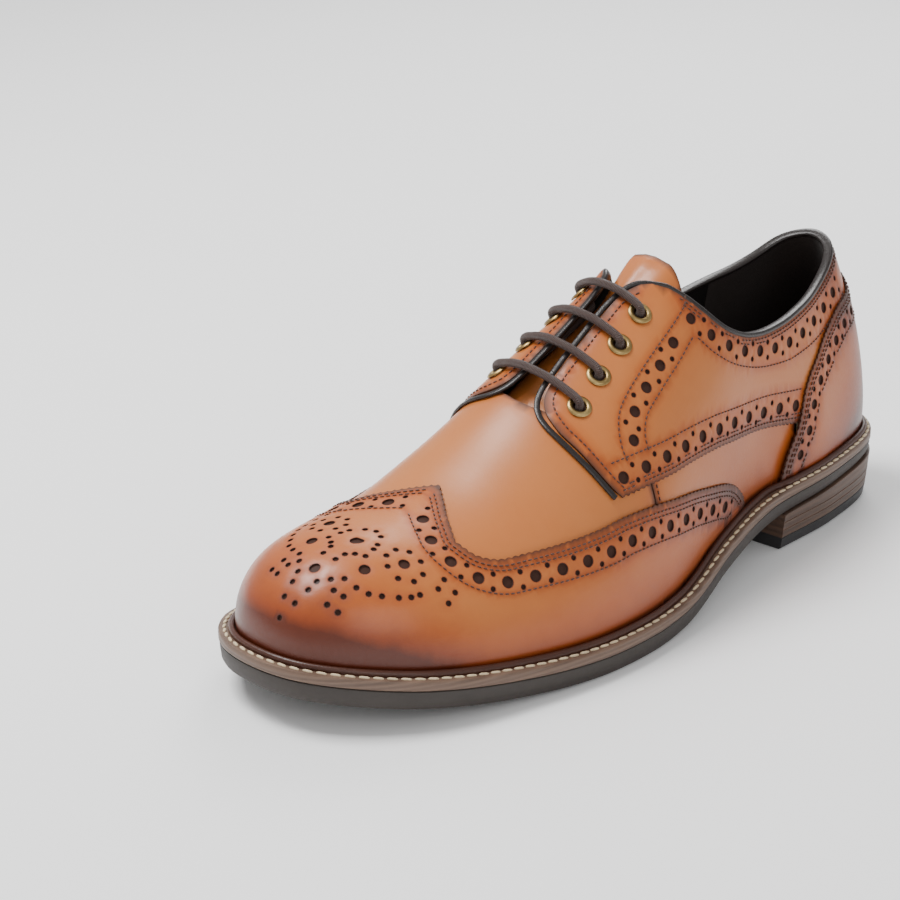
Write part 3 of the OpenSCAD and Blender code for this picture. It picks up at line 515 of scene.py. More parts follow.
def beads(name, curves, length, pitch, wide, high, off, slant=0.0, sunk=0.3, replaces=(), sides=6,
          place=None):
    """Rows of separate stitches: short rounded bars along curves on the last, or along given places."""
    verts, faces = [], []
    prof = ((-0.5, 0.0), (-0.44, 0.62), (-0.25, 1.0), (0.25, 1.0), (0.44, 0.62), (0.5, 0.0))
    for C in curves:
        if place is None:
            C = evenly(C, pitch, off)
            mid = (C[1:] + C[:-1]) / 2
            p, n, _, _ = frame_at(mid, off)
            ends = last(C[:, 0], C[:, 1], off)
            g = np.diff(ends, axis=0)
        else:
            p, n, g = place(C)
        g = g / np.linalg.norm(g, axis=1, keepdims=True)
        b = np.cross(g, n)
        if slant:
            g = g + slant * b
            g = g / np.linalg.norm(g, axis=1, keepdims=True)
            b = np.cross(g, n)
        for k in range(len(p)):
            base = len(verts)
            c = p[k] - n[k] * high * sunk * MM
            verts.append(c + g[k] * prof[0][0] * length * MM)
            for x, w in prof[1:-1]:
                for j in range(sides):
                    f = 2 * math.pi * j / sides
                    round_it = b[k] * wide * math.cos(f) + n[k] * high * math.sin(f)
                    verts.append(c + g[k] * x * length * MM + round_it * w * MM)
            verts.append(c + g[k] * prof[-1][0] * length * MM)
            rings = len(prof) - 2
            tip = base + 1 + rings * sides
            for j in range(sides):
                l = (j + 1) % sides
                faces.append((base, base + 1 + l, base + 1 + j))
                for i in range(rings - 1):
                    a = base + 1 + i * sides
                    faces.append((a + j, a + l, a + sides + l, a + sides + j))
                a = base + 1 + (rings - 1) * sides
                faces.append((a + j, a + l, tip))
    return mesh_object(name, verts, faces, "shoe", replaces, None, 60)


def tube(name, P, N, shape, replaces=()):
    """A strip swept along points P; shape(i) gives its section as rows of (across, up) in millimetres."""
    P, N = np.asarray(P), np.asarray(N)
    g = np.gradient(P, axis=0)
    g = g / np.linalg.norm(g, axis=1, keepdims=True)
    b = np.cross(g, N)
    b = b / np.linalg.norm(b, axis=1, keepdims=True)
    c = np.cross(b, g)
    verts, n, m = [], len(P), len(shape(0))
    for i in range(n):
        s = np.asarray(shape(i), float)
        verts.extend(P[i] + (s[:, :1] * b[i] + s[:, 1:] * c[i]) * MM)
    faces = []
    for i in range(n - 1):
        for k in range(m):
            j, l = i + 1, (k + 1) % m
            faces.append((i * m + k, i * m + l, j * m + l, j * m + k))
    faces.append(tuple(range(m - 1, -1, -1)))
    faces.append(tuple((n - 1) * m + k for k in range(m)))
    along = arc(P)
    attributes = {"along": np.repeat(along, m), "around": np.tile(np.arange(m) / m, n)}
    return mesh_object(name, verts, faces, "shoe", replaces, attributes, 60)


def oval(w, h, sides=10):
    f = (np.arange(sides) + 0.5) * 2 * math.pi / sides
    return np.stack([w * np.cos(f), h * np.sin(f)], 1)


def slab(name, profile, a_to=None, n=110, replaces=()):
    """A layer of the sole. profile is rows of (inset, height of a), from its bottom out and up to its top."""
    loops = []
    dense = np.linspace(0, TURNS, 6000)
    for inset, height in profile:
        c = outline(dense, inset)
        tip = int(np.argmax(c[:, 1]))
        heel = int(np.argmin(np.where(dense < TURNS / 2, c[:, 1], 1e9)))
        back = int(np.argmin(np.where(dense > TURNS / 2, c[:, 1], 1e9)))
        a0, a1 = inset + 0.02, (c[tip, 1] - 0.02 if a_to is None else a_to)
        f = np.arange(n + 1) / n
        a = a0 + (a1 - a0) * ((1 - np.cos(math.pi * f)) / 2 if a_to is None else 1 - np.cos(math.pi * f / 2))
        right, left = c[heel:tip + 1], c[tip:back + 1][::-1]
        xr = np.interp(a, np.maximum.accumulate(right[:, 1]), right[:, 0])
        xl = np.interp(a, np.maximum.accumulate(left[:, 1]), left[:, 0])
        z = height(a)
        R = np.stack([xr - CENTRE_X, CENTRE_A - a, z], 1)
        L = np.stack([xl - CENTRE_X, CENTRE_A - a, z], 1)
        loops.append(np.concatenate([R, L[::-1]]) * MM)
    m = 2 * (n + 1)
    verts = np.concatenate(loops)
    faces = []
    for k in range(len(loops) - 1):
        for i in range(m):
            j = (i + 1) % m
            faces.append((k * m + j, k * m + i, (k + 1) * m + i, (k + 1) * m + j))
    for i in range(n):
        faces.append((i, i + 1, m - 2 - i, m - 1 - i))
        e = (len(loops) - 1) * m
        faces.append((e + i, e + m - 1 - i, e + m - 2 - i, e + i + 1))
    obj = mesh_object(name, verts, faces, "shoe", replaces, None, 32)
    return obj


RING_STEPS = 420


def ring_piece(name, section, replaces=()):
    """A strip that runs right round the sole: section is rows of (inset, height above the welt's top)."""
    dense = np.linspace(0, TURNS, 4000)
    L = arc(outline(dense))
    u = np.interp(np.arange(RING_STEPS) / RING_STEPS * L[-1], L, dense)
    a0 = outline(u)[:, 1]
    ins, ups = section(a0)
    m = len(ins)
    rows = []
    for k in range(m):
        c = outline(u, ins[k])
        z = welt_top(c[:, 1]) + ups[k]
        rows.append(np.stack([c[:, 0] - CENTRE_X, CENTRE_A - c[:, 1], z], 1) * MM)
    verts = np.stack(rows, 1).reshape(-1, 3)
    faces = []
    for i in range(RING_STEPS):
        for k in range(m):
            j, l = (i + 1) % RING_STEPS, (k + 1) % m
            faces.append((i * m + k, i * m + l, j * m + l, j * m + k))
    along = np.interp(u, dense, L) / 1000
    attributes = {"along": np.repeat(along, m), "around": np.tile(np.arange(m) / m, RING_STEPS)}
    return mesh_object(name, verts, faces, "shoe", replaces, attributes, 50)


# ---------------------------------------------------------------- shader maths
class Value:
    """A shader socket that takes part in Python arithmetic."""

    def __init__(self, kit, socket):
        self.kit, self.socket = kit, socket

    def _do(self, op, a, b):
        return self.kit.math(op, a, b)

    def __add__(self, o):
        return self._do("ADD", self, o)

    __radd__ = __add__

    def __mul__(self, o):
        return self._do("MULTIPLY", self, o)

    __rmul__ = __mul__

    def __sub__(self, o):
        return self._do("SUBTRACT", self, o)

    def __rsub__(self, o):
        return self._do("SUBTRACT", o, self)

    def __truediv__(self, o):
        return self._do("DIVIDE", self, o)

    def __pow__(self, o):
        return self._do("POWER", self, o)


def shade(colour, factor):
    """A colour made lighter or darker, with its alpha."""
    return (*[min(1, c * factor) for c in colour], 1)


class Finish:
    """One procedural material and the nodes that make it."""

    def __init__(self, name, **constants):
        self.mat = bpy.data.materials.new(name)
        self.mat.use_nodes = True
        self.tree = self.mat.node_tree
        self.bsdf = self.tree.nodes["Principled BSDF"]
        for key, value in constants.items():
            self.bsdf.inputs[key.replace("_", " ")].default_value = value
        self._obj = None

    def node(self, kind, settings=None, **inputs):
        node = self.tree.nodes.new(kind)
        for key, value in (settings or {}).items():
            if key == "stops":
                ramp = node.color_ramp
                while len(ramp.elements) < len(value):
                    ramp.elements.new(0.5)
                for e, (pos, col) in zip(ramp.elements, value):
                    e.position, e.color = pos, (*col, 1)
            else:
                setattr(node, key, value)
        for key, value in inputs.items():
            numbered = key[0] == "i" and key[1:].isdigit()
            self.put(node.inputs[int(key[1:]) if numbered else key.replace("_", " ")], value)
        return node

    def put(self, socket, value):
        if isinstance(value, Value):
            self.tree.links.new(value.socket, socket)
        elif isinstance(value, bpy.types.NodeSocket):
            self.tree.links.new(value, socket)
        else:
            socket.default_value = value

    def math(self, op, a, b=None):
        ins = {f"i{k}": v for k, v in enumerate((a, b)) if v is not None}
        return Value(self, self.node("ShaderNodeMath", {"operation": op}, **ins).outputs[0])

    def clamp(self, v):
        node = self.node("ShaderNodeClamp", None, Value=v)
        return Value(self, node.outputs[0])

    def smooth(self, v, lo, hi):
        node = self.node("ShaderNodeMapRange", {"interpolation_type": "SMOOTHSTEP"}, Value=v, From_Min=lo,
                         From_Max=hi)
        return Value(self, node.outputs[0])

    def attribute(self, name):
        return Value(self, self.node("ShaderNodeAttribute", {"attribute_name": name}).outputs["Fac"])

    def place(self):
        if self._obj is None:
            self._obj = self.node("ShaderNodeTexCoord").outputs["Object"]
        return self._obj

    def axes(self):
        s = self.node("ShaderNodeSeparateXYZ", None, Vector=self.place())
        return [Value(self, o) for o in s.outputs]

    def noise(self, scale, detail=3.0, rough=0.5, stretch=None):
        v = self.place()
        if stretch:
            v = self.node("ShaderNodeMapping", None, Vector=v, Scale=stretch).outputs[0]
        return Value(self, self.node("ShaderNodeTexNoise", None, Vector=v, Scale=scale, Detail=detail,
                                     Roughness=rough).outputs["Fac"])

    def cells(self, scale):
        node = self.node("ShaderNodeTexVoronoi", None, Vector=self.place(), Scale=scale)
        return Value(self, node.outputs["Distance"])

    def blend(self, f, a, b):
        node = self.node("ShaderNodeMix", {"data_type": "RGBA"}, i0=f, i6=a, i7=b)
        return node.outputs[2]

    def ramp(self, f, stops):
        return self.node("ShaderNodeValToRGB", {"stops": stops}, Fac=f).outputs[0]

    def bump(self, height, strength, distance=0.0003):
        node = self.node("ShaderNodeBump", None, Strength=strength, Distance=distance, Height=height)
        self.put(self.bsdf.inputs["Normal"], node.outputs[0])

    def colour(self, c):
        self.put(self.bsdf.inputs["Base Color"], c)

    def roughness(self, r):
        self.put(self.bsdf.inputs["Roughness"], r)


# ---------------------------------------------------------------- finishes
FINISHES = {}


def tanned(name, toe=0.0, deep=0.0):
    """Smooth burnished leather: pale on top, which is partly the leather's tone and partly a painted
    highlight, darker towards the welt, partly burnish and partly painted shade, orange towards the seams,
    dark where it was polished in.
    """
    p = bpy.context.scene.shoe_colours
    m = Finish(name, Roughness=0.38, Coat_Weight=0.12, Coat_Roughness=0.2, Specular_IOR_Level=0.38)
    y = m.axes()[1]
    cloud = m.noise(34, 4, 0.55)
    fine = m.noise(160, 5, 0.62)
    low, edge, cut, hole, press = [m.attribute(k) for k in ("low", "burnish", "cut", "punched", "pressed")]
    band = m.attribute("band")
    nose = m.smooth(y * -1, 0.085, 0.152)
    heel = m.smooth(y, 0.088, 0.148)
    # Darker down the walls towards the welt: partly burnish, partly painted shade, so the upper faces stay
    # pale as a partly painted highlight.
    bottom = m.smooth(low, 0.60, 1.0)
    tip = m.smooth(low, 0.05, 1.05) * nose
    b = edge * 0.24 + bottom * 0.40 + nose * (0.24 + toe) + tip * 0.42 + heel * (0.42 + deep)
    b = b + (cloud - 0.5) * 0.24 + 0.20
    # hole darkens a thin ring at each punched hole's lip: partly dyed cut edge, partly painted shade.
    b = b + press * 0.22 + hole * 0.30 + band * 0.20 + (fine - 0.5) * 0.10
    # The pale end of the ramp, on the upper faces, is partly a painted highlight.
    skin = m.ramp(m.clamp(b), [(0.0, p.tan_pale_and_highlight), (0.30, p.tan_mid), (0.58, p.tan_warm), (0.84, p.tan_deep),
                               (1.0, p.tan_dark)])
    skin = m.blend(m.clamp(cut * 0.92), skin, (*p.edge_brown, 1))
    # Hole walls and floors take the near-black punch colour: dyed cut edges on the walls, painted shade on
    # the floors.
    skin = m.blend(m.clamp(hole - 0.55) * 2, skin, (*p.punch_dye_and_shade, 1))
    m.colour(skin)
    pores = m.cells(2600)
    grain = m.noise(900, 4, 0.6)
    creases = m.noise(46, 5, 0.7, (1.0, 2.6, 1.0))
    m.bump(pores * 0.10 + grain * 0.22 + creases * 0.22, 0.30, 0.00045)
    m.roughness(m.clamp(0.35 + (grain - 0.5) * 0.16 + (cloud - 0.5) * 0.10 + hole * 0.4 + cut * 0.25))
    return m.mat


LEATHER_GRAIN = 1400.0


def black_leather(name, colour, rough=0.42):
    """Fine even leather of one dark colour."""
    m = Finish(name, Roughness=rough, Specular_IOR_Level=0.4)
    n = m.noise(LEATHER_GRAIN, 4, 0.6)
    cloud = m.noise(60, 3)
    m.colour(m.blend(cloud, shade(colour, 0.7), shade(colour, 1.45)))
    m.bump(n + m.cells(LEATHER_GRAIN * 1.5) * 0.4, 0.25, 0.0003)
    m.roughness(m.clamp(rough + (n - 0.5) * 0.2))
    return m.mat


def suede(name, colour):
    m = Finish(name, Roughness=0.95, Specular_IOR_Level=0.15, Sheen_Weight=0.08, Sheen_Roughness=0.5)
    n = m.noise(1500, 6, 0.75)
    cloud = m.noise(70, 4, 0.6)
    m.colour(m.blend(n * 0.5 + cloud * 0.5, shade(colour, 0.5), shade(colour, 1.7)))
    m.bump(n, 0.5, 0.0004)
    return m.mat


def stacked(name, light, dark, pitch):
    """Layers of sole leather seen on edge: fine level lines with streaks along them."""
    m = Finish(name, Roughness=0.5, Coat_Weight=0.15, Coat_Roughness=0.3)
    z = m.axes()[2]
    wobble = m.noise(30, 2, 0.5, (1, 1, 0.2)) * 0.0012
    lines = m.math("SINE", (z + wobble) * (2 * math.pi / pitch))
    streak = m.noise(240, 5, 0.65, (0.12, 0.12, 5.0))
    f = m.clamp(lines * 0.18 + streak * 1.1 - 0.12)
    m.colour(m.blend(f, shade(dark, 1), shade(light, 1)))
    m.bump(lines * 0.35 + streak, 0.35, 0.0004)
    m.roughness(m.clamp(0.42 + streak * 0.25))
    return m.mat


def rubber(name, colour, rough=0.55):
    m = Finish(name, Roughness=rough, Specular_IOR_Level=0.45)
    n = m.noise(500, 5, 0.65)
    scuff = m.noise(60, 4, 0.6, (1, 1, 4))
    m.colour(m.blend(scuff, shade(colour, 0.75), shade(colour, 1.35)))
    m.bump(n, 0.22, 0.0003)
    m.roughness(m.clamp(rough - 0.08 + n * 0.2))
    return m.mat


def thread(name, colour, twist=1600.0):
    m = Finish(name, Roughness=0.62, Sheen_Weight=0.2, Sheen_Roughness=0.4)
    n = m.noise(twist, 4, 0.6)
    cloud = m.noise(120, 2)
    m.colour(m.blend(n * 0.6 + cloud * 0.4, shade(colour, 0.55), shade(colour, 1.25)))
    m.bump(n, 0.5, 0.0003)
    return m.mat


def braid(name, colour):
    """A round waxed lace: two families of strands crossing along its length."""
    m = Finish(name, Roughness=0.6, Sheen_Weight=0.15, Sheen_Roughness=0.5)
    along, around = m.attribute("along"), m.attribute("around")
    a = m.math("SINE", (along * 620 + around) * (2 * math.pi * 3))
    b = m.math("SINE", (along * 620 - around) * (2 * math.pi * 3))
    weave = m.math("MAXIMUM", a, b)
    fuzz = m.noise(1800, 5, 0.7)
    # Darker in the low parts of the weave, between the strands: painted shade; the fuzz gives the thread's
    # own uneven tone.
    f = m.clamp(weave * 0.35 + fuzz * 0.8)
    m.colour(m.blend(f, shade(colour, 0.35), shade(colour, 1.6)))
    m.bump(weave * 0.7 + fuzz * 0.5, 0.65, 0.00045)
    return m.mat


def aged_brass(name):
    m = Finish(name, Roughness=0.36, Metallic=1.0)
    n = m.noise(420, 5, 0.65)
    spots = m.noise(130, 4, 0.6)
    tones = [(0.2, (0.13, 0.085, 0.035)), (0.5, (0.34, 0.235, 0.095)), (0.8, (0.50, 0.37, 0.16))]
    m.colour(m.ramp(m.clamp(n * 0.5 + spots * 0.6 - 0.05), tones))
    m.bump(n, 0.16, 0.0002)
    m.roughness(m.clamp(0.26 + spots * 0.28))
    return m.mat


def cork(name):
    m = Finish(name, Roughness=0.9)
    tones = [(0.1, (0.10, 0.05, 0.02)), (0.5, (0.42, 0.26, 0.13)), (1.0, (0.55, 0.36, 0.2))]
    m.colour(m.ramp(m.cells(260), tones))
    m.bump(m.cells(260), 0.5, 0.0005)
    return m.mat


def plain_steel(name):
    m = Finish(name, Roughness=0.4, Metallic=1.0)
    n = m.noise(300, 4, 0.6, (1, 0.05, 1))
    m.colour(m.blend(n, (0.30, 0.31, 0.32, 1), (0.55, 0.56, 0.58, 1)))
    m.roughness(m.clamp(0.25 + n * 0.3))
    return m.mat


def make_finishes():
    """Every finish, under the short name that the pieces use."""
    c = bpy.context.scene.shoe_colours
    FINISHES.update(
        vamp=tanned("vamp_leather"), cap=tanned("cap_leather", toe=0.10), quarter=tanned("quarter_leather"),
        foxing=tanned("foxing_leather", deep=0.12), tongue=tanned("tongue_leather"),
        binding=black_leather("binding_leather", c.binding, 0.30),
        lining=black_leather("lining_leather", c.lining), suede=suede("heel_suede", c.suede),
        rand=black_leather("rand_leather", c.rand, 0.38),
        welt=stacked("welt_edge", c.welt_light, c.welt_dark, 0.0017),
        lifts=stacked("lift_edge", c.lift_light, c.lift_dark, 0.0026),
        rubber=rubber("sole_rubber", c.rubber), heel_rubber=rubber("heel_rubber", c.heel_rubber, 0.48),
        stitch=thread("seam_thread", c.seam_thread), welt_thread=thread("welt_thread", c.welt_thread, 1100),
        lace=braid("waxed_braid", c.lace), brass=aged_brass("aged_brass"), cork=cork("cork"),
        steel=plain_steel("shank_steel"), board=black_leather("insole_board", (0.45, 0.3, 0.19), 0.7),
        sock=black_leather("sock_leather", c.lining, 0.5), backing=suede("backing_cloth", (0.30, 0.22, 0.14)))


# ---------------------------------------------------------------- patterns of the upper
STITCH, SEAM_PITCH = 1.45, 2.1
THREAD_R = 0.30
BIG_R, SMALL_R = 2.0, 0.88
ROW_SPAN, HOLE_SPAN = (0.03, 0.97), (0.03, 0.95)
HOLE_LO, HOLE_HI = 0.03, 0.955


def clip(C, lo=0.012, hi=0.975):
    """The points of a curve with t between lo and hi."""
    C = np.asarray(C, float)
    return C[(C[:, 1] > lo) & (C[:, 1] < hi)]


def brogue(C, pitch, off, big=BIG_R, gap=2.55, start=0.5):
    """Rims of a brogue row: large holes with a pair of small ones between each two."""
    C = evenly(C, 1.0, off)
    L = arc(last(C[:, 0], C[:, 1], off) / MM)
    count = int((L[-1] - pitch * start) / pitch) + 1
    big_at = pitch * start + np.arange(count) * pitch
    rims = []

    def at(x, side=0.0):
        c = np.stack([np.interp(x, L, C[:, 0]), np.interp(x, L, C[:, 1])], 1)
        return beside(c, side, off) if side else c

    for c in at(big_at):
        if HOLE_LO < c[1] < HOLE_HI:
            rims.append(disc(c, big, off, 16))
    halves = np.concatenate([big_at - pitch / 2, big_at[-1:] + pitch / 2])
    halves = halves[(halves > 0.6) & (halves < L[-1])]
    for side in (-gap, gap):
        for c in (at(halves, side) if len(halves) > 1 else []):
            if HOLE_LO < c[1] < HOLE_HI:
                rims.append(disc(c, SMALL_R, off, 8))
    return rims


def wing_edge(side):
    peak, wing = spline(seam(PEAK, side), per=10), spline(seam(WING, side), per=10)
    return np.concatenate([peak[:-1], wing])


def on_plan(points):
    """(u, t) of places given by (x, a) on the toe, found on the surface."""
    gu, gt = np.meshgrid(np.linspace(6.2, 12.8, 200), np.linspace(0.02, 0.75, 120))
    g = np.stack([gu.ravel(), gt.ravel()], 1)
    p = last(g[:, 0], g[:, 1], 3.4)[:, :2] / MM
    out = []
    for x, a in points:
        target = np.array([x - CENTRE_X, CENTRE_A - a])
        out.append(g[np.argmin(((p - target) ** 2).sum(1))])
    return np.array(out)


def toe_medallion():
    """Rims of the punched rosette on the toe, laid out either side of its own axis."""
    def axis(a):
        return 1.0 - 0.09 * (a - 268)

    big = [(0, 265.5), (0, 282), (11.5, 272.5), (16.6, 260.8)]
    small = []
    for k in range(8):
        f = 2 * math.pi * k / 8 + 0.3
        small.append((16.6 + 5.9 * math.cos(f), 260.8 + 5.6 * math.sin(f)))
    for f in (205, 240, 270):
        small.append((7.0 * -math.cos(math.radians(f)), 265.5 + 8.6 * math.sin(math.radians(f))))
    small += [(7.2, 264.5), (8.2, 268.6), (3.2, 272.6), (5.2, 270.6), (2.6, 276.0)]
    small += [(3.4, 288.0), (4.4, 284.9), (7.2, 281.9), (10.0, 279.2), (14.2, 278.2)]
    small += [(17.8, 276.2), (20.6, 273.2), (23.2, 269.8), (24.9, 266.2), (25.8, 262.6)]
    for x, a in ((0, 293.2), (12.2, 285.0), (28.0, 254.6)):
        small += [(x + i * 1.75 + j * 0.6, a + j * 1.75 - i * 0.6) for i in (-1, 1) for j in (-1, 1)]
    rims, seen = [], []
    for spots, r, sides in ((big, 1.85, 14), (small, 0.95, 8)):
        places = []
        for x, a in spots:
            for m in ((1, -1) if abs(x) > 0.01 else (1,)):
                places.append((axis(a) + m * x, a))
        for (x, a), c in zip(places, on_plan(places)):
            if all((x - q) ** 2 + (a - w) ** 2 > 6.2 for q, w in seen):
                rims.append(disc(c, r, 3.4, sides))
                seen.append((x, a))
    return rims


def bottom_run(s_from, s_to, side_from, side_to, step=2.2):
    """The panel's lower edge along the welt, round the toe or the heel."""
    u0, u1 = float(u_at(s_from, side_from)), float(u_at(s_to, side_to))
    u = np.linspace(u0, u1, max(4, int(abs(u1 - u0) * 34 / step)))
    return np.stack([u, np.full(len(u), 0.997)], 1)


def build_wing_cap():
    off = PLY_B[1]
    edges = {side: clip(wing_edge(side), -1, 2) for side in (1, -1)}
    rims, rows = [], []
    for side, C in edges.items():
        smooth = evenly(C, 1.2, off)
        for d in (2.3, 3.9, 12.0):
            row = beside(smooth, -side * d, off)
            row = row[np.concatenate([[True], np.abs(np.diff(row[:, 0])) < 1])]
            row = clip(row, 0.012, 0.965)
            if len(row) > 4:
                row = evenly(row, SEAM_PITCH, off)
                rows.append(row[(row[:, 1] > 0.012)])
        holes = clip(beside(smooth, -side * 7.95, off), *HOLE_SPAN)
        rims += brogue(holes, 10.4, off, start=0.62)
    rims += toe_medallion()
    ring = [gimped(edges[1], off), bottom_run(105.8, 105.8, 1, -1), gimped(edges[-1], off)[::-1]]
    ring = [evenly(r, TOOTH_STEP, off) if k != 1 else r for k, r in enumerate(ring)]
    obj = panel("wing_cap", np.concatenate([ring[0][1:], ring[1][1:-1], ring[2][:-1]]), PLY_B, rims, rows,
                replaces=["wing_cap"], band=near_rows(rows, off))
    finish_with(obj, FINISHES["cap"])
    return rows


def near_rows(rows, off):
    """Share of burnish in the punched bands, from how near a stitch row is."""
    Q = np.concatenate([last(r[:, 0], r[:, 1], off) for r in rows])

    def share(P):
        return np.exp(-(nearest(last(P[:, 0], P[:, 1], off), Q) / 3.2) ** 2) * 0.7
    return share


FACING_AT = (134.5, 137, 141, 148, 156, 164, 172, 178, 182, 184.8, 186.8, 187.9)
FACING_FOOT = [(188.0, 0.26), (187.2, 0.34), (186.0, 0.43), (184.5, 0.497), (182.6, 0.55), (180.9, 0.583)]
LOW_HOLES = [(181.5, 0.517), (178.1, 0.529), (167.4, 0.563), (156.5, 0.599), (145.9, 0.637), (133.1, 0.680),
             (121.0, 0.716), (108.0, 0.738), (95.2, 0.748), (83.6, 0.747), (72.9, 0.745), (64, 0.745)]
COLLAR_ROW = [(126.6, 0.417), (120.2, 0.503), (109.3, 0.579), (94.2, 0.617), (76.9, 0.611), (60.9, 0.579),
              (45.4, 0.545), (32.2, 0.513), (22, 0.490)]
COLLAR_HOLES = [(126.6, 0.345), (119.8, 0.447), (112.2, 0.511), (104, 0.552), (93.7, 0.570), (83.6, 0.570),
                (74.1, 0.558), (63.6, 0.535), (54.4, 0.511), (43, 0.485), (32.2, 0.460), (22.5, 0.437)]
STRAP_FRONT = [(124.8, 0.262), (127, 0.297), (137.3, 0.321), (150.8, 0.323), (160.3, 0.330), (167.4, 0.353),
               (171.4, 0.397), (173.6, 0.453), (173.8, 0.500)]
STRAP_REAR = [(128, 0.405), (137.7, 0.427), (148.1, 0.431), (156.9, 0.437), (161.1, 0.458), (163.3, 0.495),
              (163.8, 0.533)]
STRAP_HOLES = [(136.3, 0.363), (145.4, 0.375), (153.4, 0.377), (161.1, 0.392), (166.4, 0.430), (168.7, 0.490)]


def build_quarter(side):
    """One quarter with its facing, its punched bands and its stitch rows, which it returns."""
    off = PLY_B[1]
    name = "lateral_quarter" if side > 0 else "medial_quarter"
    u_stop = 0.03 if side > 0 else TURNS - 0.03
    us = np.linspace(u_stop, float(u_at(133.5, side)), 90)
    top = np.stack([us, collar_t(us, 1.5)], 1)
    face = seam([(s, table(FACING, s)) for s in FACING_AT], side)
    facing = spline(np.concatenate([face, seam(FACING_FOOT, side)]), per=8)
    low = seam([(s, float(table(QUARTER_LOW, s))) for s in np.arange(180.5, 66.9, -4.5)], side)
    low = spline(low, per=6)
    toothed = evenly(gimped(low, off), TOOTH_STEP, off)
    s_end = float(station(np.array(toothed[-1, 0])))
    down = seam([(s_end, t) for t in np.arange(toothed[-1, 1] + 0.02, 0.99, 0.03)], side)
    run = np.linspace(float(toothed[-1, 0]), u_stop, 28)
    run = np.stack([run, np.full(28, 0.997)], 1)
    back = np.stack([np.full(20, u_stop), np.linspace(0.97, float(top[0, 1]) + 0.02, 20)], 1)
    ring = np.concatenate([evenly(top, 1.6, off), evenly(facing, 1.2, off)[1:], toothed[1:], down, run, back])
    rows, rims = [], []

    def stitch_row(C):
        rows.append(evenly(clip(C, *ROW_SPAN), SEAM_PITCH, off))

    edge = evenly(facing[3:-3], 1.5, off)
    stitch_row(beside(edge, side * 3.0, off))
    lower = evenly(low, 2.0, off)
    for d in (2.0, 3.5, 12.0):
        row = beside(lower, side * d, off)
        row = row[station(row[:, 0]) > 60]
        stitch_row(row)
    rims += brogue(spline(seam(LOW_HOLES, side)), 10.9, off, big=2.1, start=0.34, gap=2.7)
    rim_top = np.stack([us, collar_t(us, 0.0)], 1)
    collar = evenly(rim_top[4:], 2.0, off)
    for d in (2.9, 4.2):
        row = beside(collar, side * d, off)
        stitch_row(row[station(row[:, 0]) < 128])
    stitch_row(spline(seam(COLLAR_ROW, side)))
    rims += brogue(spline(seam(COLLAR_HOLES, side)), 10.2, off, big=1.95, start=0.05, gap=2.7)
    stitch_row(spline(seam(STRAP_FRONT, side)))
    stitch_row(spline(seam(STRAP_REAR, side)))
    rims += brogue(spline(seam(STRAP_HOLES, side)), 10.4, off, big=2.0, start=0.02, gap=2.6)
    eyes = [disc(c, 2.75, off, 20) for c in seam(EYELETS, side)]
    rims, rows = untangle(rims + eyes, rows, off)
    obj = panel(name, ring, PLY_B, rims, rows, replaces=[name], band=near_rows(rows, off))
    finish_with(obj, FINISHES["quarter"])
    return rows


def untangle(rims, rows, off):
    """Leaves out holes that would cut into one another, and stitches that would cross a hole."""
    kept, centres = [], []
    for rim in rims:
        p = last(rim[:, 0], rim[:, 1], off) / MM
        c, r = p.mean(0), np.linalg.norm(p - p.mean(0), axis=1).max()
        if all(np.linalg.norm(c - q) > r + w + 0.45 for q, w in centres):
            kept.append(rim)
            centres.append((c, r))
    clear = []
    for row in rows:
        p = last(row[:, 0], row[:, 1], off) / MM
        ok = np.ones(len(row), bool)
        for c, r in centres:
            ok &= np.linalg.norm(p - c, axis=1) > r + 0.5
        clear.append(row[ok])
    return kept, [r for r in clear if len(r) > 3]


def build_foxing():
    off = PLY_C[1]
    rows, rims = [], []
    halves = {}
    for side in (1, -1):
        s = np.array([80.3, 78.5, 76, 72.8, 69.3, 65.4, 61.5, 57.5, 50, 44, 37, 31, 25, 18.6])
        C = seam(np.stack([s, table(FOXING, s)], 1), side)
        halves[side] = C
    u_l, u_m = halves[1][-1, 0], halves[-1][-1, 0] - TURNS
    back_u = np.linspace(u_l, u_m, 9)[1:-1]
    back = np.stack([back_u, 0.457 + 0.035 * np.abs(back_u / max(u_l, 0.1)) ** 2], 1)
    m = halves[-1].copy()
    m[:, 0] -= TURNS
    edge = spline(np.concatenate([halves[1], back, m[::-1]]), per=8)
    smooth = evenly(edge, 1.5, off)
    for d in (2.0, 3.5, 11.0):
        rows.append(evenly(clip(beside(smooth, -d, off), *ROW_SPAN), SEAM_PITCH, off))
    rims += brogue(clip(beside(smooth, -7.3, off), *HOLE_SPAN), 9.6, off, big=1.8, start=0.4, gap=2.3)
    toothed = evenly(gimped(edge, off), TOOTH_STEP, off)
    run = np.linspace(toothed[-1, 0], toothed[0, 0], 80)[1:-1]
    ring = np.concatenate([toothed, np.stack([run, np.full(len(run), 0.997)], 1)])
    rims, rows = untangle(rims, rows, off)
    obj = panel("heel_foxing", ring, PLY_C, rims, rows, replaces=["heel_foxing"], band=near_rows(rows, off))
    finish_with(obj, FINISHES["foxing"])
    return rows


def unbroken(rows, off):
    """Stitch rows cut where a hole has taken stitches out, so that none is drawn across it."""
    out = []
    for row in rows:
        p = last(row[:, 0], row[:, 1], off) / MM
        gap = np.linalg.norm(np.diff(p, axis=0), axis=1) > SEAM_PITCH * 1.5
        out += [part for part in np.split(row, np.nonzero(gap)[0] + 1) if len(part) > 1]
    return out


def sew(name, rows, off):
    obj = beads(name, unbroken(rows, off), STITCH, SEAM_PITCH, THREAD_R, THREAD_R, off, sunk=0.1)
    finish_with(obj, FINISHES["stitch"])


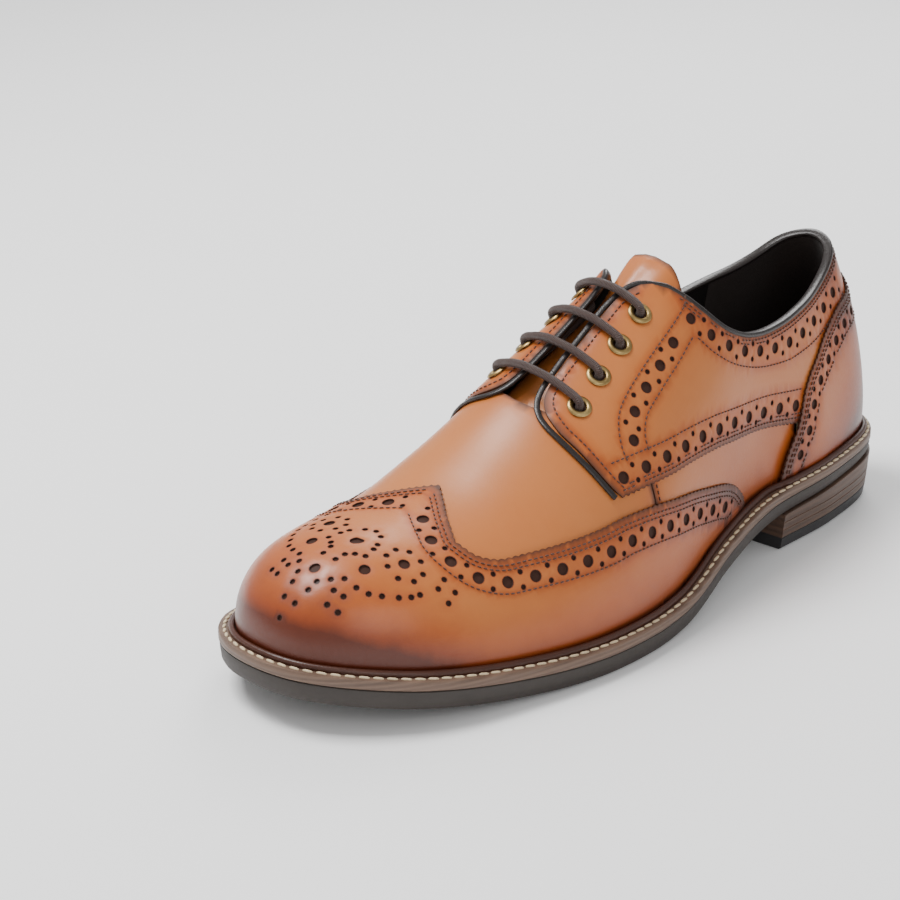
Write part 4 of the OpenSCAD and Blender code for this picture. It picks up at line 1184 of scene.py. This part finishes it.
def across(rows_on_lateral):
    """A line over the ridge: down one side's rows in reverse, then the other side's."""
    rows = np.asarray(rows_on_lateral, float)
    return np.concatenate([seam(rows, 1), seam(rows[::-1], -1)])


# ---------------------------------------------------------------- vamp, sides and linings
VAMP_BACK = [(166, 0.97), (166, 0.78), (166, 0.64), (166, 0.56), (169, 0.48), (173, 0.39), (178, 0.30),
             (183, 0.20), (186, 0.10), (187, 0.02)]
VAMP_FRONT = 246.0


def column(s, side, t_from, t_to, n=24):
    """A line down one ray."""
    return np.stack([np.full(n, float(u_at(s, side))), np.linspace(t_from, t_to, n)], 1)


def build_vamp():
    off = PLY_A[1]
    back = across(VAMP_BACK)
    ring = np.concatenate([
        *[evenly(spline(half, per=6), 1.5, off) for half in np.split(back, 2)],
        bottom_run(166, VAMP_FRONT, -1, -1), column(VAMP_FRONT, -1, 0.97, 0.02),
        column(VAMP_FRONT, 1, 0.02, 0.97), bottom_run(VAMP_FRONT, 166, 1, 1)])
    finish_with(panel("vamp", ring, PLY_A, replaces=["vamp"]), FINISHES["vamp"])


def build_side_panel(side):
    name = "lateral_side_panel" if side > 0 else "medial_side_panel"
    s = np.arange(165.4, 67.4, -3.0)
    top = seam(np.stack([s, table(QUARTER_LOW, s) - 0.05], 1), side)
    rear = column(s[-1], side, float(top[-1, 1]) + 0.02, 0.97, 8)
    front = column(165.4, side, 0.97, float(top[0, 1]) + 0.02, 12)
    ring = np.concatenate([top, rear, bottom_run(s[-1], 165.4, side, side), front])
    rows = [evenly(column(163.6, side, 0.64, 0.96, 16), SEAM_PITCH, PLY_A[1])]
    obj = panel(name, ring, PLY_A, (), rows, replaces=[name])
    finish_with(obj, FINISHES["vamp"])
    sew(name + "_stitches", rows, PLY_A[1])


def build_linings():
    for side, name in ((1, "lateral_quarter_lining"), (-1, "medial_quarter_lining")):
        s = np.concatenate([np.arange(59.2, 133, 2.5), np.arange(133.5, 181, 2.5)])
        u = u_at(s, side)
        top = np.stack([u, collar_t(u, 0.8)], 1)
        front = column(181.0, side, float(top[-1, 1]) + 0.03, 0.97, 20)
        rear = column(59.2, side, 0.97, float(top[0, 1]) + 0.03)
        ring = np.concatenate([top, front, bottom_run(181.0, 59.2, side, side, 3.5), rear])
        obj = panel(name, ring, LINING, grain=4.0, replaces=[name])
        finish_with(obj, FINISHES["lining"])
    u0, u1 = float(u_at(58.8, 1)), float(u_at(58.8, -1)) - TURNS
    u = np.linspace(u1, u0, 60)
    top = np.stack([u, collar_t(u, 0.8)], 1)
    run = np.linspace(u0, u1, 60)
    down = np.stack([np.full(16, u0), np.linspace(float(top[-1, 1]) + 0.05, 0.96, 16)], 1)
    up = np.stack([np.full(16, u1), np.linspace(0.96, float(top[0, 1]) + 0.05, 16)], 1)
    ring = np.concatenate([top, down, np.stack([run, np.full(60, 0.997)], 1), up])
    obj = panel("heel_grip", ring, LINING, grain=3.5, replaces=["heel_grip"])
    finish_with(obj, FINISHES["suede"])


# ---------------------------------------------------------------- binding, eyelets, lace, tongue
BIND = [(134.2, 0.078), (136.5, 0.062), (140, 0.052), (146, 0.045), (153, 0.044), (161, 0.045), (169, 0.048),
        (176, 0.055), (181, 0.064), (184.4, 0.078), (187, 0.102), (188.8, 0.138), (189.7, 0.190),
        (189.7, 0.250), (189.2, 0.320), (188.2, 0.390), (187, 0.450), (185.6, 0.510), (183.8, 0.565)]
BIND_MID = (PLY_B[0] + 1.0) / 2


def build_binding():
    """One strip folded over the edge, round the collar and down to the foot of both facings."""
    rows = []
    for side in (-1, 1):
        half = []
        for s, t in BIND:
            f = min(1.0, max(0.0, (s - 134) / 9))
            half.append((float(u_at(s, side)), t, BIND_MID + (PLY_B[0] + 0.55 - BIND_MID) * f,
                         BIND_MID + 0.15 + (0.6 - BIND_MID - 0.15) * f))
        rows.append(np.array(half))
    u_m, u_l = float(u_at(132.5, -1)), float(u_at(132.5, 1))
    u = np.linspace(u_m - TURNS, u_l, 70)
    collar = np.stack([u, collar_t(u, 1.1), np.full(70, BIND_MID), np.full(70, BIND_MID + 0.15)], 1)
    H = np.concatenate([rows[0][::-1], collar, rows[1]])
    p, n = last(H[:, 0], H[:, 1], H[:, 2], True)
    L = arc(p)
    x = np.linspace(0, L[-1], 620)
    P = np.stack([np.interp(x, L, p[:, k]) for k in range(3)], 1)
    N = np.stack([np.interp(x, L, n[:, k]) for k in range(3)], 1)
    h = np.interp(x, L, H[:, 3])
    P, N = smoothed(P, 4), smoothed(N, 4)

    def fold(i):
        f = np.linspace(0, 2 * math.pi, 15)[:-1]
        c, s = np.cos(f), np.sin(f)
        return np.stack([1.05 * np.sign(c) * np.abs(c) ** 0.75, h[i] * np.sign(s) * np.abs(s) ** 0.6], 1)
    obj = tube("edge_binding", P, N, fold, ["edge_binding"])
    finish_with(obj, FINISHES["binding"])


def smoothed(P, times):
    for _ in range(times):
        Q = P.copy()
        Q[1:-1] = (P[:-2] + 2 * P[1:-1] + P[2:]) / 4
        P = Q
    return P


EYELET_SIDES = 40


def turned(profile):
    """A ring turned from (radius, height) stops in millimetres: a circle extruded from stop to stop."""
    bpy.ops.object.select_all(action="DESELECT")
    bpy.ops.mesh.primitive_circle_add(vertices=EYELET_SIDES, radius=profile[0][0] * MM, location=(0, 0, 0))
    obj = bpy.context.object
    bpy.ops.object.mode_set(mode="EDIT")
    bpy.ops.mesh.select_all(action="SELECT")
    bpy.ops.transform.translate(value=(0, 0, profile[0][1] * MM))
    for (r0, z0), (r1, z1) in zip(profile, profile[1:]):
        bpy.ops.mesh.extrude_edges_move()
        bpy.ops.transform.resize(value=(r1 / r0, r1 / r0, 1), center_override=(0, 0, z0 * MM))
        bpy.ops.transform.translate(value=(0, 0, (z1 - z0) * MM))
    bpy.ops.mesh.select_all(action="DESELECT")
    bpy.ops.mesh.select_mode(type="EDGE")
    bpy.ops.mesh.select_non_manifold()
    bpy.ops.mesh.bridge_edge_loops()
    bpy.ops.mesh.select_all(action="SELECT")
    bpy.ops.mesh.normals_make_consistent(inside=False)
    bpy.ops.object.mode_set(mode="OBJECT")
    V = np.array([v.co[:] for v in obj.data.vertices])
    F = [tuple(f.vertices) for f in obj.data.polygons]
    data = obj.data
    bpy.data.objects.remove(obj)
    bpy.data.meshes.remove(data)
    return V, F


def build_eyelets():
    sizes = bpy.context.scene.shoe_sizes
    bore, rim = sizes.eyelet_bore / MM / 2, sizes.eyelet_flange / MM / 2
    top = PLY_B[1] + 0.05
    V, F = turned([(bore, -0.7), (bore + 0.35, -0.7), (bore + 0.4, top), (rim - 0.1, top), (rim, top + 0.16),
                   (rim - 0.16, top + 0.42), (rim - 0.65, top + 0.74), (rim - 1.15, top + 0.82),
                   (bore + 0.5, top + 0.66), (bore + 0.12, top + 0.4), (bore, top + 0.1)])
    for side, name in ((1, "lateral_eyelets"), (-1, "medial_eyelets")):
        verts, faces = [], []
        for s, t in EYELETS:
            p, n = last(u_at(s, side), t, 0.0, True)
            e1 = np.cross([0, 1, 0], n)
            e1 = e1 / np.linalg.norm(e1)
            e2 = np.cross(n, e1)
            at = len(verts)
            verts.extend(p + V[:, :1] * e1 + V[:, 1:2] * e2 + V[:, 2:] * n)
            faces += [tuple(at + i for i in f) for f in F]
        obj = mesh_object(name, verts, faces, "shoe", [name], None, 40)
        finish_with(obj, FINISHES["brass"])


LACE_UP, LACE_DN = 6.0, -2.65


def bar(i, side):
    """Stops (side, station, t, height) of a straight bar over the gap at eyelet pair i."""
    s, t = EYELETS[i]
    half = [(s, t, -0.7), (s, t, 4.5), (s, t - 0.010, LACE_UP - 0.25), (s, t - 0.034, LACE_UP),
            (s, t * 0.52, LACE_UP - 0.2), (s, 0.055, LACE_UP - 0.1), (s, 0.012, LACE_UP - 0.1)]
    return [(side, *h) for h in half] + [(-side, *h) for h in half[::-1]]


def under(side, i, j, d):
    """Stops of a run behind one facing from eyelet i to eyelet j, d aside of the eyelets."""
    (s0, t0), (s1, t1) = EYELETS[i], EYELETS[j]
    n = (j - i) * 2
    mids = [(side, s0 + (s1 - s0) * k / n, t0 + (t1 - t0) * k / n + d, LACE_DN) for k in range(1, n)]
    ends = [(side, s, t + d * 0.1, LACE_DN + 0.1) for s, t in ((s0 - 0.3, t0), (s1 + 0.3, t1))]
    return [ends[0], *mids, ends[1]]


def tuck(i, s1):
    """Stops of a lace end that runs down inside from eyelet i to station s1."""
    s, t = EYELETS[i]
    run = [(1, s + (s1 - s) * k * k / 64, t + 0.012 + 0.053 * k, LACE_DN - 0.2) for k in range(1, 9)]
    return [(1, s, t + 0.004, LACE_DN + 0.1), *run]


def build_lace():
    """One lace: straight bars over the gap, runs under the facings, and both ends tucked inside."""
    stops = (tuck(2, 172)[::-1] + bar(2, -1)[::-1] + under(-1, 0, 2, 0.045)[::-1] + bar(0, -1)
             + under(1, 0, 1, 0) + bar(1, 1) + under(-1, 1, 3, -0.042) + bar(3, -1) + tuck(3, 128))
    S = np.array(stops, float)
    u = np.array([float(u_at(s, int(side))) for side, s in S[:, :2]])
    p = last(u, S[:, 2], S[:, 3])
    L = arc(p)
    x = np.linspace(0, L[-1], int(L[-1] / 0.0004))
    P = smoothed(np.stack([np.interp(x, L, p[:, k]) for k in range(3)], 1), 10)
    N = np.tile(np.array([0.13, 0.97, 0.2]), (len(P), 1))
    r = bpy.context.scene.shoe_sizes.lace_width / MM / 2
    ring = oval(r, r, 14)
    obj = tube("lace", P, N, lambda i: ring, ["lace"])
    finish_with(obj, FINISHES["lace"])


TONGUE = [(118.9, 0.13), (119.9, 0.215), (121.6, 0.285), (124.4, 0.33), (128.5, 0.35), (134, 0.325),
          (141, 0.31), (149, 0.29), (157, 0.27), (165, 0.25), (173, 0.235), (181, 0.225), (188, 0.21),
          (191, 0.20)]
TONGUE_GAP = 4.4


def tongue_drop(P):
    """How far the tongue lies below the quarters' level at points P, with the crown of its tip."""
    s = station(P[:, 0])
    x = np.clip((s - 124) / 14, 0, 1)
    crown = 1.6 * np.clip((140 - s) / 18, 0, 1) * np.clip(-P[:, 1], 0, 1)
    return -TONGUE_GAP * x - 2.2 * (1 - x) + crown


def build_tongue():
    top = [(118.2, -0.7), (118.3, -0.35), (118.4, 0.0), (118.5, 0.06)]
    end = [(191, 0.10), (191, 0.02)]
    half = seam(np.array(top + TONGUE + end), 1)
    other = seam(np.array(top + TONGUE + end), -1)
    ring = np.concatenate([evenly(spline(C, per=5), 1.6, -2.0)[::way] for C, way in ((half, 1), (other, -1))])
    s = np.arange(120.5, 150, 2.2)
    inner = np.concatenate([seam(np.stack([s, np.full(len(s), t)], 1), side) for side in (1, -1)
                            for t in (-0.75, -0.4, -0.05)])
    hem = []
    for side, C in ((1, half), (-1, other)):
        C = evenly(C[2:-3], 1.5, -2.0)
        hem.append(evenly(beside(C, side * 2.6, -2.0)[1:-1], SEAM_PITCH, -2.0))
    for name, plies, key in (("tongue", (-1.2, 0.0), "tongue"), ("tongue_lining", (-2.3, -1.5), "lining")):
        obj = panel(name, ring, plies, (), hem if key == "tongue" else (), grain=3.0, body="tongue",
                    replaces=[name],
                    lift=tongue_drop, extra=[inner])
        finish_with(obj, FINISHES[key])


# ---------------------------------------------------------------- welt and sole
WELT_IN = 12.4
THREAD_IN = pairs((0, 1.15), (60, 1.15), (76, 1.2), (90, 1.6), (150, 2.0), (304, 2.0))
RAND_IN = pairs((0, 2.6), (60, 2.6), (68, 2.6), (76, 2.8), (84, 4.4), (98, 4.5), (150, 4.2), (304, 4.2))


def build_welt():
    def edge(a):
        z = np.zeros_like(a)
        ins = [z + WELT_IN, z + WELT_IN, z + 0.75, z + 0.22, z, z, z + 0.2, z + 0.5]
        foot = z - WELT_T
        ups = [foot + 0.2, z, z, z - 0.16, z - 0.6, foot + 0.7, foot + 0.3, foot + 0.15]
        return ins, ups
    finish_with(ring_piece("welt", edge, ["welt"]), FINISHES["welt"])

    def bead(a):
        d = table(RAND_IN, a)
        ins = [d - 0.9, d - 1.0, d - 0.75, d - 0.2, d + 0.5, d + 1.1, d + 1.2]
        ups = [a * 0 + h for h in (0.0, 0.9, 1.6, 2.05, 2.1, 1.6, 0.0)]
        return ins, ups
    finish_with(ring_piece("rand", bead, ["rand"]), FINISHES["rand"])
    sizes = bpy.context.scene.shoe_sizes
    dense = np.linspace(0, TURNS, 4000)
    L = arc(outline(dense, table(THREAD_IN, outline(dense)[:, 1])))
    count = int(L[-1] * MM / sizes.welt_stitch)

    def places(_):
        u = np.interp((np.arange(count) + 0.5) / count * L[-1], L, dense)

        def at(u):
            c = outline(u, table(THREAD_IN, outline(u)[:, 1]))
            return np.stack([c[:, 0] - CENTRE_X, CENTRE_A - c[:, 1], welt_top(c[:, 1]) + 0.12], 1) * MM
        g = at(u + 0.01) - at(u - 0.01)
        g = g / np.linalg.norm(g, axis=1, keepdims=True)
        n = np.cross(g, np.cross(np.tile([0, 0, 1.0], (count, 1)), g))
        return at(u), n, g
    length = sizes.welt_stitch / MM * 0.80
    obj = beads("welt_thread", [None], length, 1, 0.55, 0.5, 0, slant=0.12, sunk=0.0,
                replaces=["welt_thread"], sides=8, place=places)
    finish_with(obj, FINISHES["welt_thread"])


TOP_PIECE, HEEL_LENGTH = 4.5, 82.0


def build_sole():
    def level(z):
        return lambda a: np.zeros_like(a) + z

    def at(f, d):
        return lambda a: f(a) + d
    edge = [(2.4, at(sole_bottom, 0.0)), (1.3, at(sole_bottom, 0.35)), (0.75, at(sole_bottom, 1.3)),
            (0.35, at(sole_top, -1.6)), (0.45, at(sole_top, -0.35)), (0.8, sole_top)]
    obj = slab("outsole", edge, n=150, replaces=["outsole"])
    finish_with(obj, FINISHES["rubber"])

    def taper(z):
        return 1.5 * (1 - z / (HEEL_H + 2))
    block = HEEL_H - TOP_PIECE
    z1, z2 = TOP_PIECE + block * 0.34, TOP_PIECE + block * 0.67
    edge = [(taper(0) + 0.9, level(0.0)), (taper(0) + 0.15, level(0.5)),
            (taper(TOP_PIECE), level(TOP_PIECE - 0.3)), (taper(TOP_PIECE) + 0.3, level(TOP_PIECE - 0.02))]
    obj = slab("heel_top_piece", edge, HEEL_LENGTH, replaces=["heel_top_piece"])
    finish_with(obj, FINISHES["heel_rubber"])
    for name, lo, hi in (("heel_lift_lower", TOP_PIECE, z1), ("heel_lift_middle", z1, z2)):
        edge = [(taper(lo) + 0.25, level(lo)), (taper(lo), level(lo + 0.22)), (taper(hi), level(hi - 0.22)),
                (taper(hi) + 0.25, level(hi - 0.02))]
        obj = slab(name, edge, HEEL_LENGTH, replaces=[name])
        finish_with(obj, FINISHES["lifts"])
    top = taper(HEEL_H + 2)
    edge = [(taper(z2) + 0.25, level(z2)), (taper(z2), level(z2 + 0.22)), (top, at(sole_bottom, -0.3)),
            (top + 0.25, at(sole_bottom, -0.06))]
    obj = slab("heel_lift_upper", edge, HEEL_LENGTH, replaces=["heel_lift_upper"])
    finish_with(obj, FINISHES["lifts"])


INNER = {"cork_filler": "cork", "shank": "steel", "insole": "board", "sock_liner": "sock",
         "vamp_lining": "lining", "toe_puff": "backing", "heel_stiffener": "backing",
         "lateral_interlining": "backing", "medial_interlining": "backing"}


def dress_inner_parts():
    """The CAD parts inside the shoe keep their shape and take a finish."""
    for node, key in INNER.items():
        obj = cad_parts[node]
        obj.data.materials.clear()
        obj.data.materials.append(FINISHES[key])


# ---------------------------------------------------------------- stage
LIGHTS = (("key", (-0.45, -0.35, 1.15), 0.55, 21.0), ("fill", (1.1, -0.6, 0.7), 0.8, 4.5),
          ("rim", (-0.5, 0.9, 0.8), 0.6, 8.0))
EYE, LOOK, LENS = (0.54555, -0.6615, 0.3834), (-0.03835, -0.0292, 0.0482), 106.9
LIT_POINT = Vector((0, 0, 0.03))


def build_stage():
    """The floor, an even white world, three area lights and the camera."""
    bpy.ops.object.select_all(action="DESELECT")
    bpy.ops.mesh.primitive_plane_add(size=12, location=(0, 0, -0.0002))
    floor = bpy.context.object
    floor.name = "floor"
    m = Finish("floor_paper", Roughness=0.75, Specular_IOR_Level=0.2)
    n = m.noise(6, 3)
    m.colour(m.blend(n, (0.93, 0.93, 0.93, 1), (0.96, 0.96, 0.96, 1)))
    finish_with(floor, m.mat)
    world = bpy.data.worlds.new("studio")
    world.use_nodes = True
    world.node_tree.nodes["Background"].inputs["Color"].default_value = (1, 1, 1, 1)
    world.node_tree.nodes["Background"].inputs["Strength"].default_value = 0.62
    bpy.context.scene.world = world
    for name, at, size, power in LIGHTS:
        data = bpy.data.lights.new(name, "AREA")
        data.energy, data.size = power, size
        lamp = bpy.data.objects.new(name, data)
        bpy.context.collection.objects.link(lamp)
        lamp.location = at
        lamp.rotation_euler = (LIT_POINT - Vector(at)).to_track_quat("-Z", "Y").to_euler()
    eye, look = Vector(EYE), Vector(LOOK)
    data = bpy.data.cameras.new("camera")
    data.lens, data.sensor_width = LENS, 36
    camera = bpy.data.objects.new("camera", data)
    bpy.context.collection.objects.link(camera)
    camera.location = eye
    camera.rotation_euler = (look - eye).to_track_quat("-Z", "Y").to_euler()
    bpy.context.scene.camera = camera


# ---------------------------------------------------------------- settings
def tone(name, text, value):
    """A colour with its label, its description and its default."""
    return FloatVectorProperty(name=name, description=text, subtype="COLOR", size=3, min=0, max=1,
                               default=value)


def measure(name, text, value):
    """A size in metres with its label, its description and its default."""
    return FloatProperty(name=name, description=text, default=value, unit="LENGTH")


class ShoeColours(bpy.types.PropertyGroup):
    # Pale tan of the upper faces: partly the leather's own tone, partly a painted highlight.
    tan_pale_and_highlight: tone("Pale tan", "Leather on the upper faces", (0.50, 0.180, 0.052))
    tan_mid: tone("Tan", "Leather of the plain stretches", (0.46, 0.138, 0.030))
    tan_warm: tone("Warm tan", "Leather towards the seams", (0.37, 0.082, 0.012))
    tan_deep: tone("Deep tan", "Leather polished in at the toe and the heel", (0.22, 0.040, 0.008))
    tan_dark: tone("Dark burnish", "Leather at its darkest", (0.090, 0.016, 0.005))
    edge_brown: tone("Cut edge", "Dyed cut edges", (0.040, 0.013, 0.006))
    # Near-black inside punched holes: painted shade over the leather beneath, with the dyed cut edges of the
    # walls.
    punch_dye_and_shade: tone("Punched hole", "Leather seen through a punched hole", (0.040, 0.014, 0.008))
    binding: tone("Binding", "Folded strip round the opening", (0.014, 0.010, 0.009))
    lining: tone("Lining", "Lining of the front and the quarters", (0.008, 0.0065, 0.006))
    suede: tone("Heel grip", "Rough leather inside the heel", (0.018, 0.012, 0.010))
    rand: tone("Rand", "Bead between welt and upper", (0.050, 0.015, 0.008))
    welt_light: tone("Welt, light", "Light streaks of the welt's edge", (0.19, 0.115, 0.075))
    welt_dark: tone("Welt, dark", "Dark streaks of the welt's edge", (0.075, 0.040, 0.025))
    lift_light: tone("Heel lift, light", "Light lines of the stacked heel", (0.130, 0.070, 0.042))
    lift_dark: tone("Heel lift, dark", "Dark lines of the stacked heel", (0.040, 0.019, 0.011))
    rubber: tone("Sole", "Rubber sole", (0.030, 0.023, 0.019))
    heel_rubber: tone("Top piece", "Rubber under the heel", (0.016, 0.015, 0.016))
    seam_thread: tone("Seam thread", "Thread of the upper's seams", (0.075, 0.024, 0.010))
    welt_thread: tone("Welt thread", "Thread that holds the sole to the welt", (0.66, 0.52, 0.33))
    lace: tone("Lace", "Waxed round lace", (0.040, 0.016, 0.010))


class ShoeSizes(bpy.types.PropertyGroup):
    eyelet_bore: measure("Eyelet bore", "Hole through an eyelet", 0.0044)
    eyelet_flange: measure("Eyelet rim", "Outside of an eyelet", 0.0086)
    lace_width: measure("Lace", "Diameter of the lace", 0.0029)
    welt_stitch: measure("Welt stitch", "Pitch of the welt's stitches", 0.0044)


# ---------------------------------------------------------------- operators
class SHOE_OT_finishes(bpy.types.Operator):
    """Mixes every finish from the scene's shoe colours"""
    bl_idname = "shoe.finishes"
    bl_label = "Finishes"

    def execute(self, context):
        make_finishes()
        return {"FINISHED"}


class SHOE_OT_sole(bpy.types.Operator):
    """Builds the outsole, the heel's lifts and its top piece"""
    bl_idname = "shoe.sole"
    bl_label = "Sole and heel"

    def execute(self, context):
        build_sole()
        return {"FINISHED"}


class SHOE_OT_welt(bpy.types.Operator):
    """Builds the welt, its stitches and the rand"""
    bl_idname = "shoe.welt"
    bl_label = "Welt"

    def execute(self, context):
        build_welt()
        return {"FINISHED"}


class SHOE_OT_inner(bpy.types.Operator):
    """Gives the parts inside the shoe their finishes"""
    bl_idname = "shoe.inner"
    bl_label = "Inner parts"

    def execute(self, context):
        dress_inner_parts()
        return {"FINISHED"}


class SHOE_OT_linings(bpy.types.Operator):
    """Builds the quarter linings and the heel grip"""
    bl_idname = "shoe.linings"
    bl_label = "Linings"

    def execute(self, context):
        build_linings()
        return {"FINISHED"}


class SHOE_OT_vamp(bpy.types.Operator):
    """Builds the vamp and the side panels"""
    bl_idname = "shoe.vamp"
    bl_label = "Vamp and sides"

    def execute(self, context):
        build_vamp()
        build_side_panel(1)
        build_side_panel(-1)
        return {"FINISHED"}


class SHOE_OT_wing_cap(bpy.types.Operator):
    """Builds the punched wing cap and its stitches"""
    bl_idname = "shoe.wing_cap"
    bl_label = "Wing cap"

    def execute(self, context):
        sew("wing_cap_stitches", build_wing_cap(), PLY_B[1])
        return {"FINISHED"}


class SHOE_OT_quarters(bpy.types.Operator):
    """Builds both punched quarters and their stitches"""
    bl_idname = "shoe.quarters"
    bl_label = "Quarters"

    def execute(self, context):
        for side, name in ((1, "lateral_quarter_stitches"), (-1, "medial_quarter_stitches")):
            sew(name, build_quarter(side), PLY_B[1])
        return {"FINISHED"}


class SHOE_OT_foxing(bpy.types.Operator):
    """Builds the punched heel foxing and its stitches"""
    bl_idname = "shoe.foxing"
    bl_label = "Heel foxing"

    def execute(self, context):
        sew("heel_foxing_stitches", build_foxing(), PLY_C[1])
        return {"FINISHED"}


class SHOE_OT_binding(bpy.types.Operator):
    """Builds the strip round the opening"""
    bl_idname = "shoe.binding"
    bl_label = "Edge binding"

    def execute(self, context):
        build_binding()
        return {"FINISHED"}


class SHOE_OT_tongue(bpy.types.Operator):
    """Builds the tongue and its lining"""
    bl_idname = "shoe.tongue"
    bl_label = "Tongue"

    def execute(self, context):
        build_tongue()
        return {"FINISHED"}


class SHOE_OT_eyelets(bpy.types.Operator):
    """Builds the eight eyelets"""
    bl_idname = "shoe.eyelets"
    bl_label = "Eyelets"

    def execute(self, context):
        build_eyelets()
        return {"FINISHED"}


class SHOE_OT_lace(bpy.types.Operator):
    """Builds the lace along its route"""
    bl_idname = "shoe.lace"
    bl_label = "Lace"

    def execute(self, context):
        build_lace()
        return {"FINISHED"}


class SHOE_OT_stage(bpy.types.Operator):
    """Adds the floor, the lights and the camera"""
    bl_idname = "shoe.stage"
    bl_label = "Stage"

    def execute(self, context):
        build_stage()
        return {"FINISHED"}


STEPS = (SHOE_OT_finishes, SHOE_OT_stage, SHOE_OT_sole, SHOE_OT_welt, SHOE_OT_inner, SHOE_OT_linings,
         SHOE_OT_vamp, SHOE_OT_wing_cap, SHOE_OT_quarters, SHOE_OT_foxing, SHOE_OT_binding, SHOE_OT_tongue,
         SHOE_OT_eyelets, SHOE_OT_lace)


class SHOE_PT_panel(bpy.types.Panel):
    """A button for every step, in the order in which they run"""
    bl_label = "Wingtip shoe"
    bl_idname = "SHOE_PT_panel"
    bl_space_type = "VIEW_3D"
    bl_region_type = "UI"
    bl_category = "Shoe"

    def draw(self, context):
        for step in STEPS:
            self.layout.operator(step.bl_idname)


CLASSES = (ShoeColours, ShoeSizes, *STEPS, SHOE_PT_panel)


def register():
    for cls in CLASSES:
        bpy.utils.register_class(cls)
    bpy.types.Scene.shoe_colours = PointerProperty(type=ShoeColours)
    bpy.types.Scene.shoe_sizes = PointerProperty(type=ShoeSizes)


def unregister():
    del bpy.types.Scene.shoe_colours
    del bpy.types.Scene.shoe_sizes
    for cls in reversed(CLASSES):
        bpy.utils.unregister_class(cls)


def main():
    register()
    for step in STEPS:
        group, name = step.bl_idname.split(".")
        getattr(getattr(bpy.ops, group), name)()


if __name__ == "__main__":
    main()
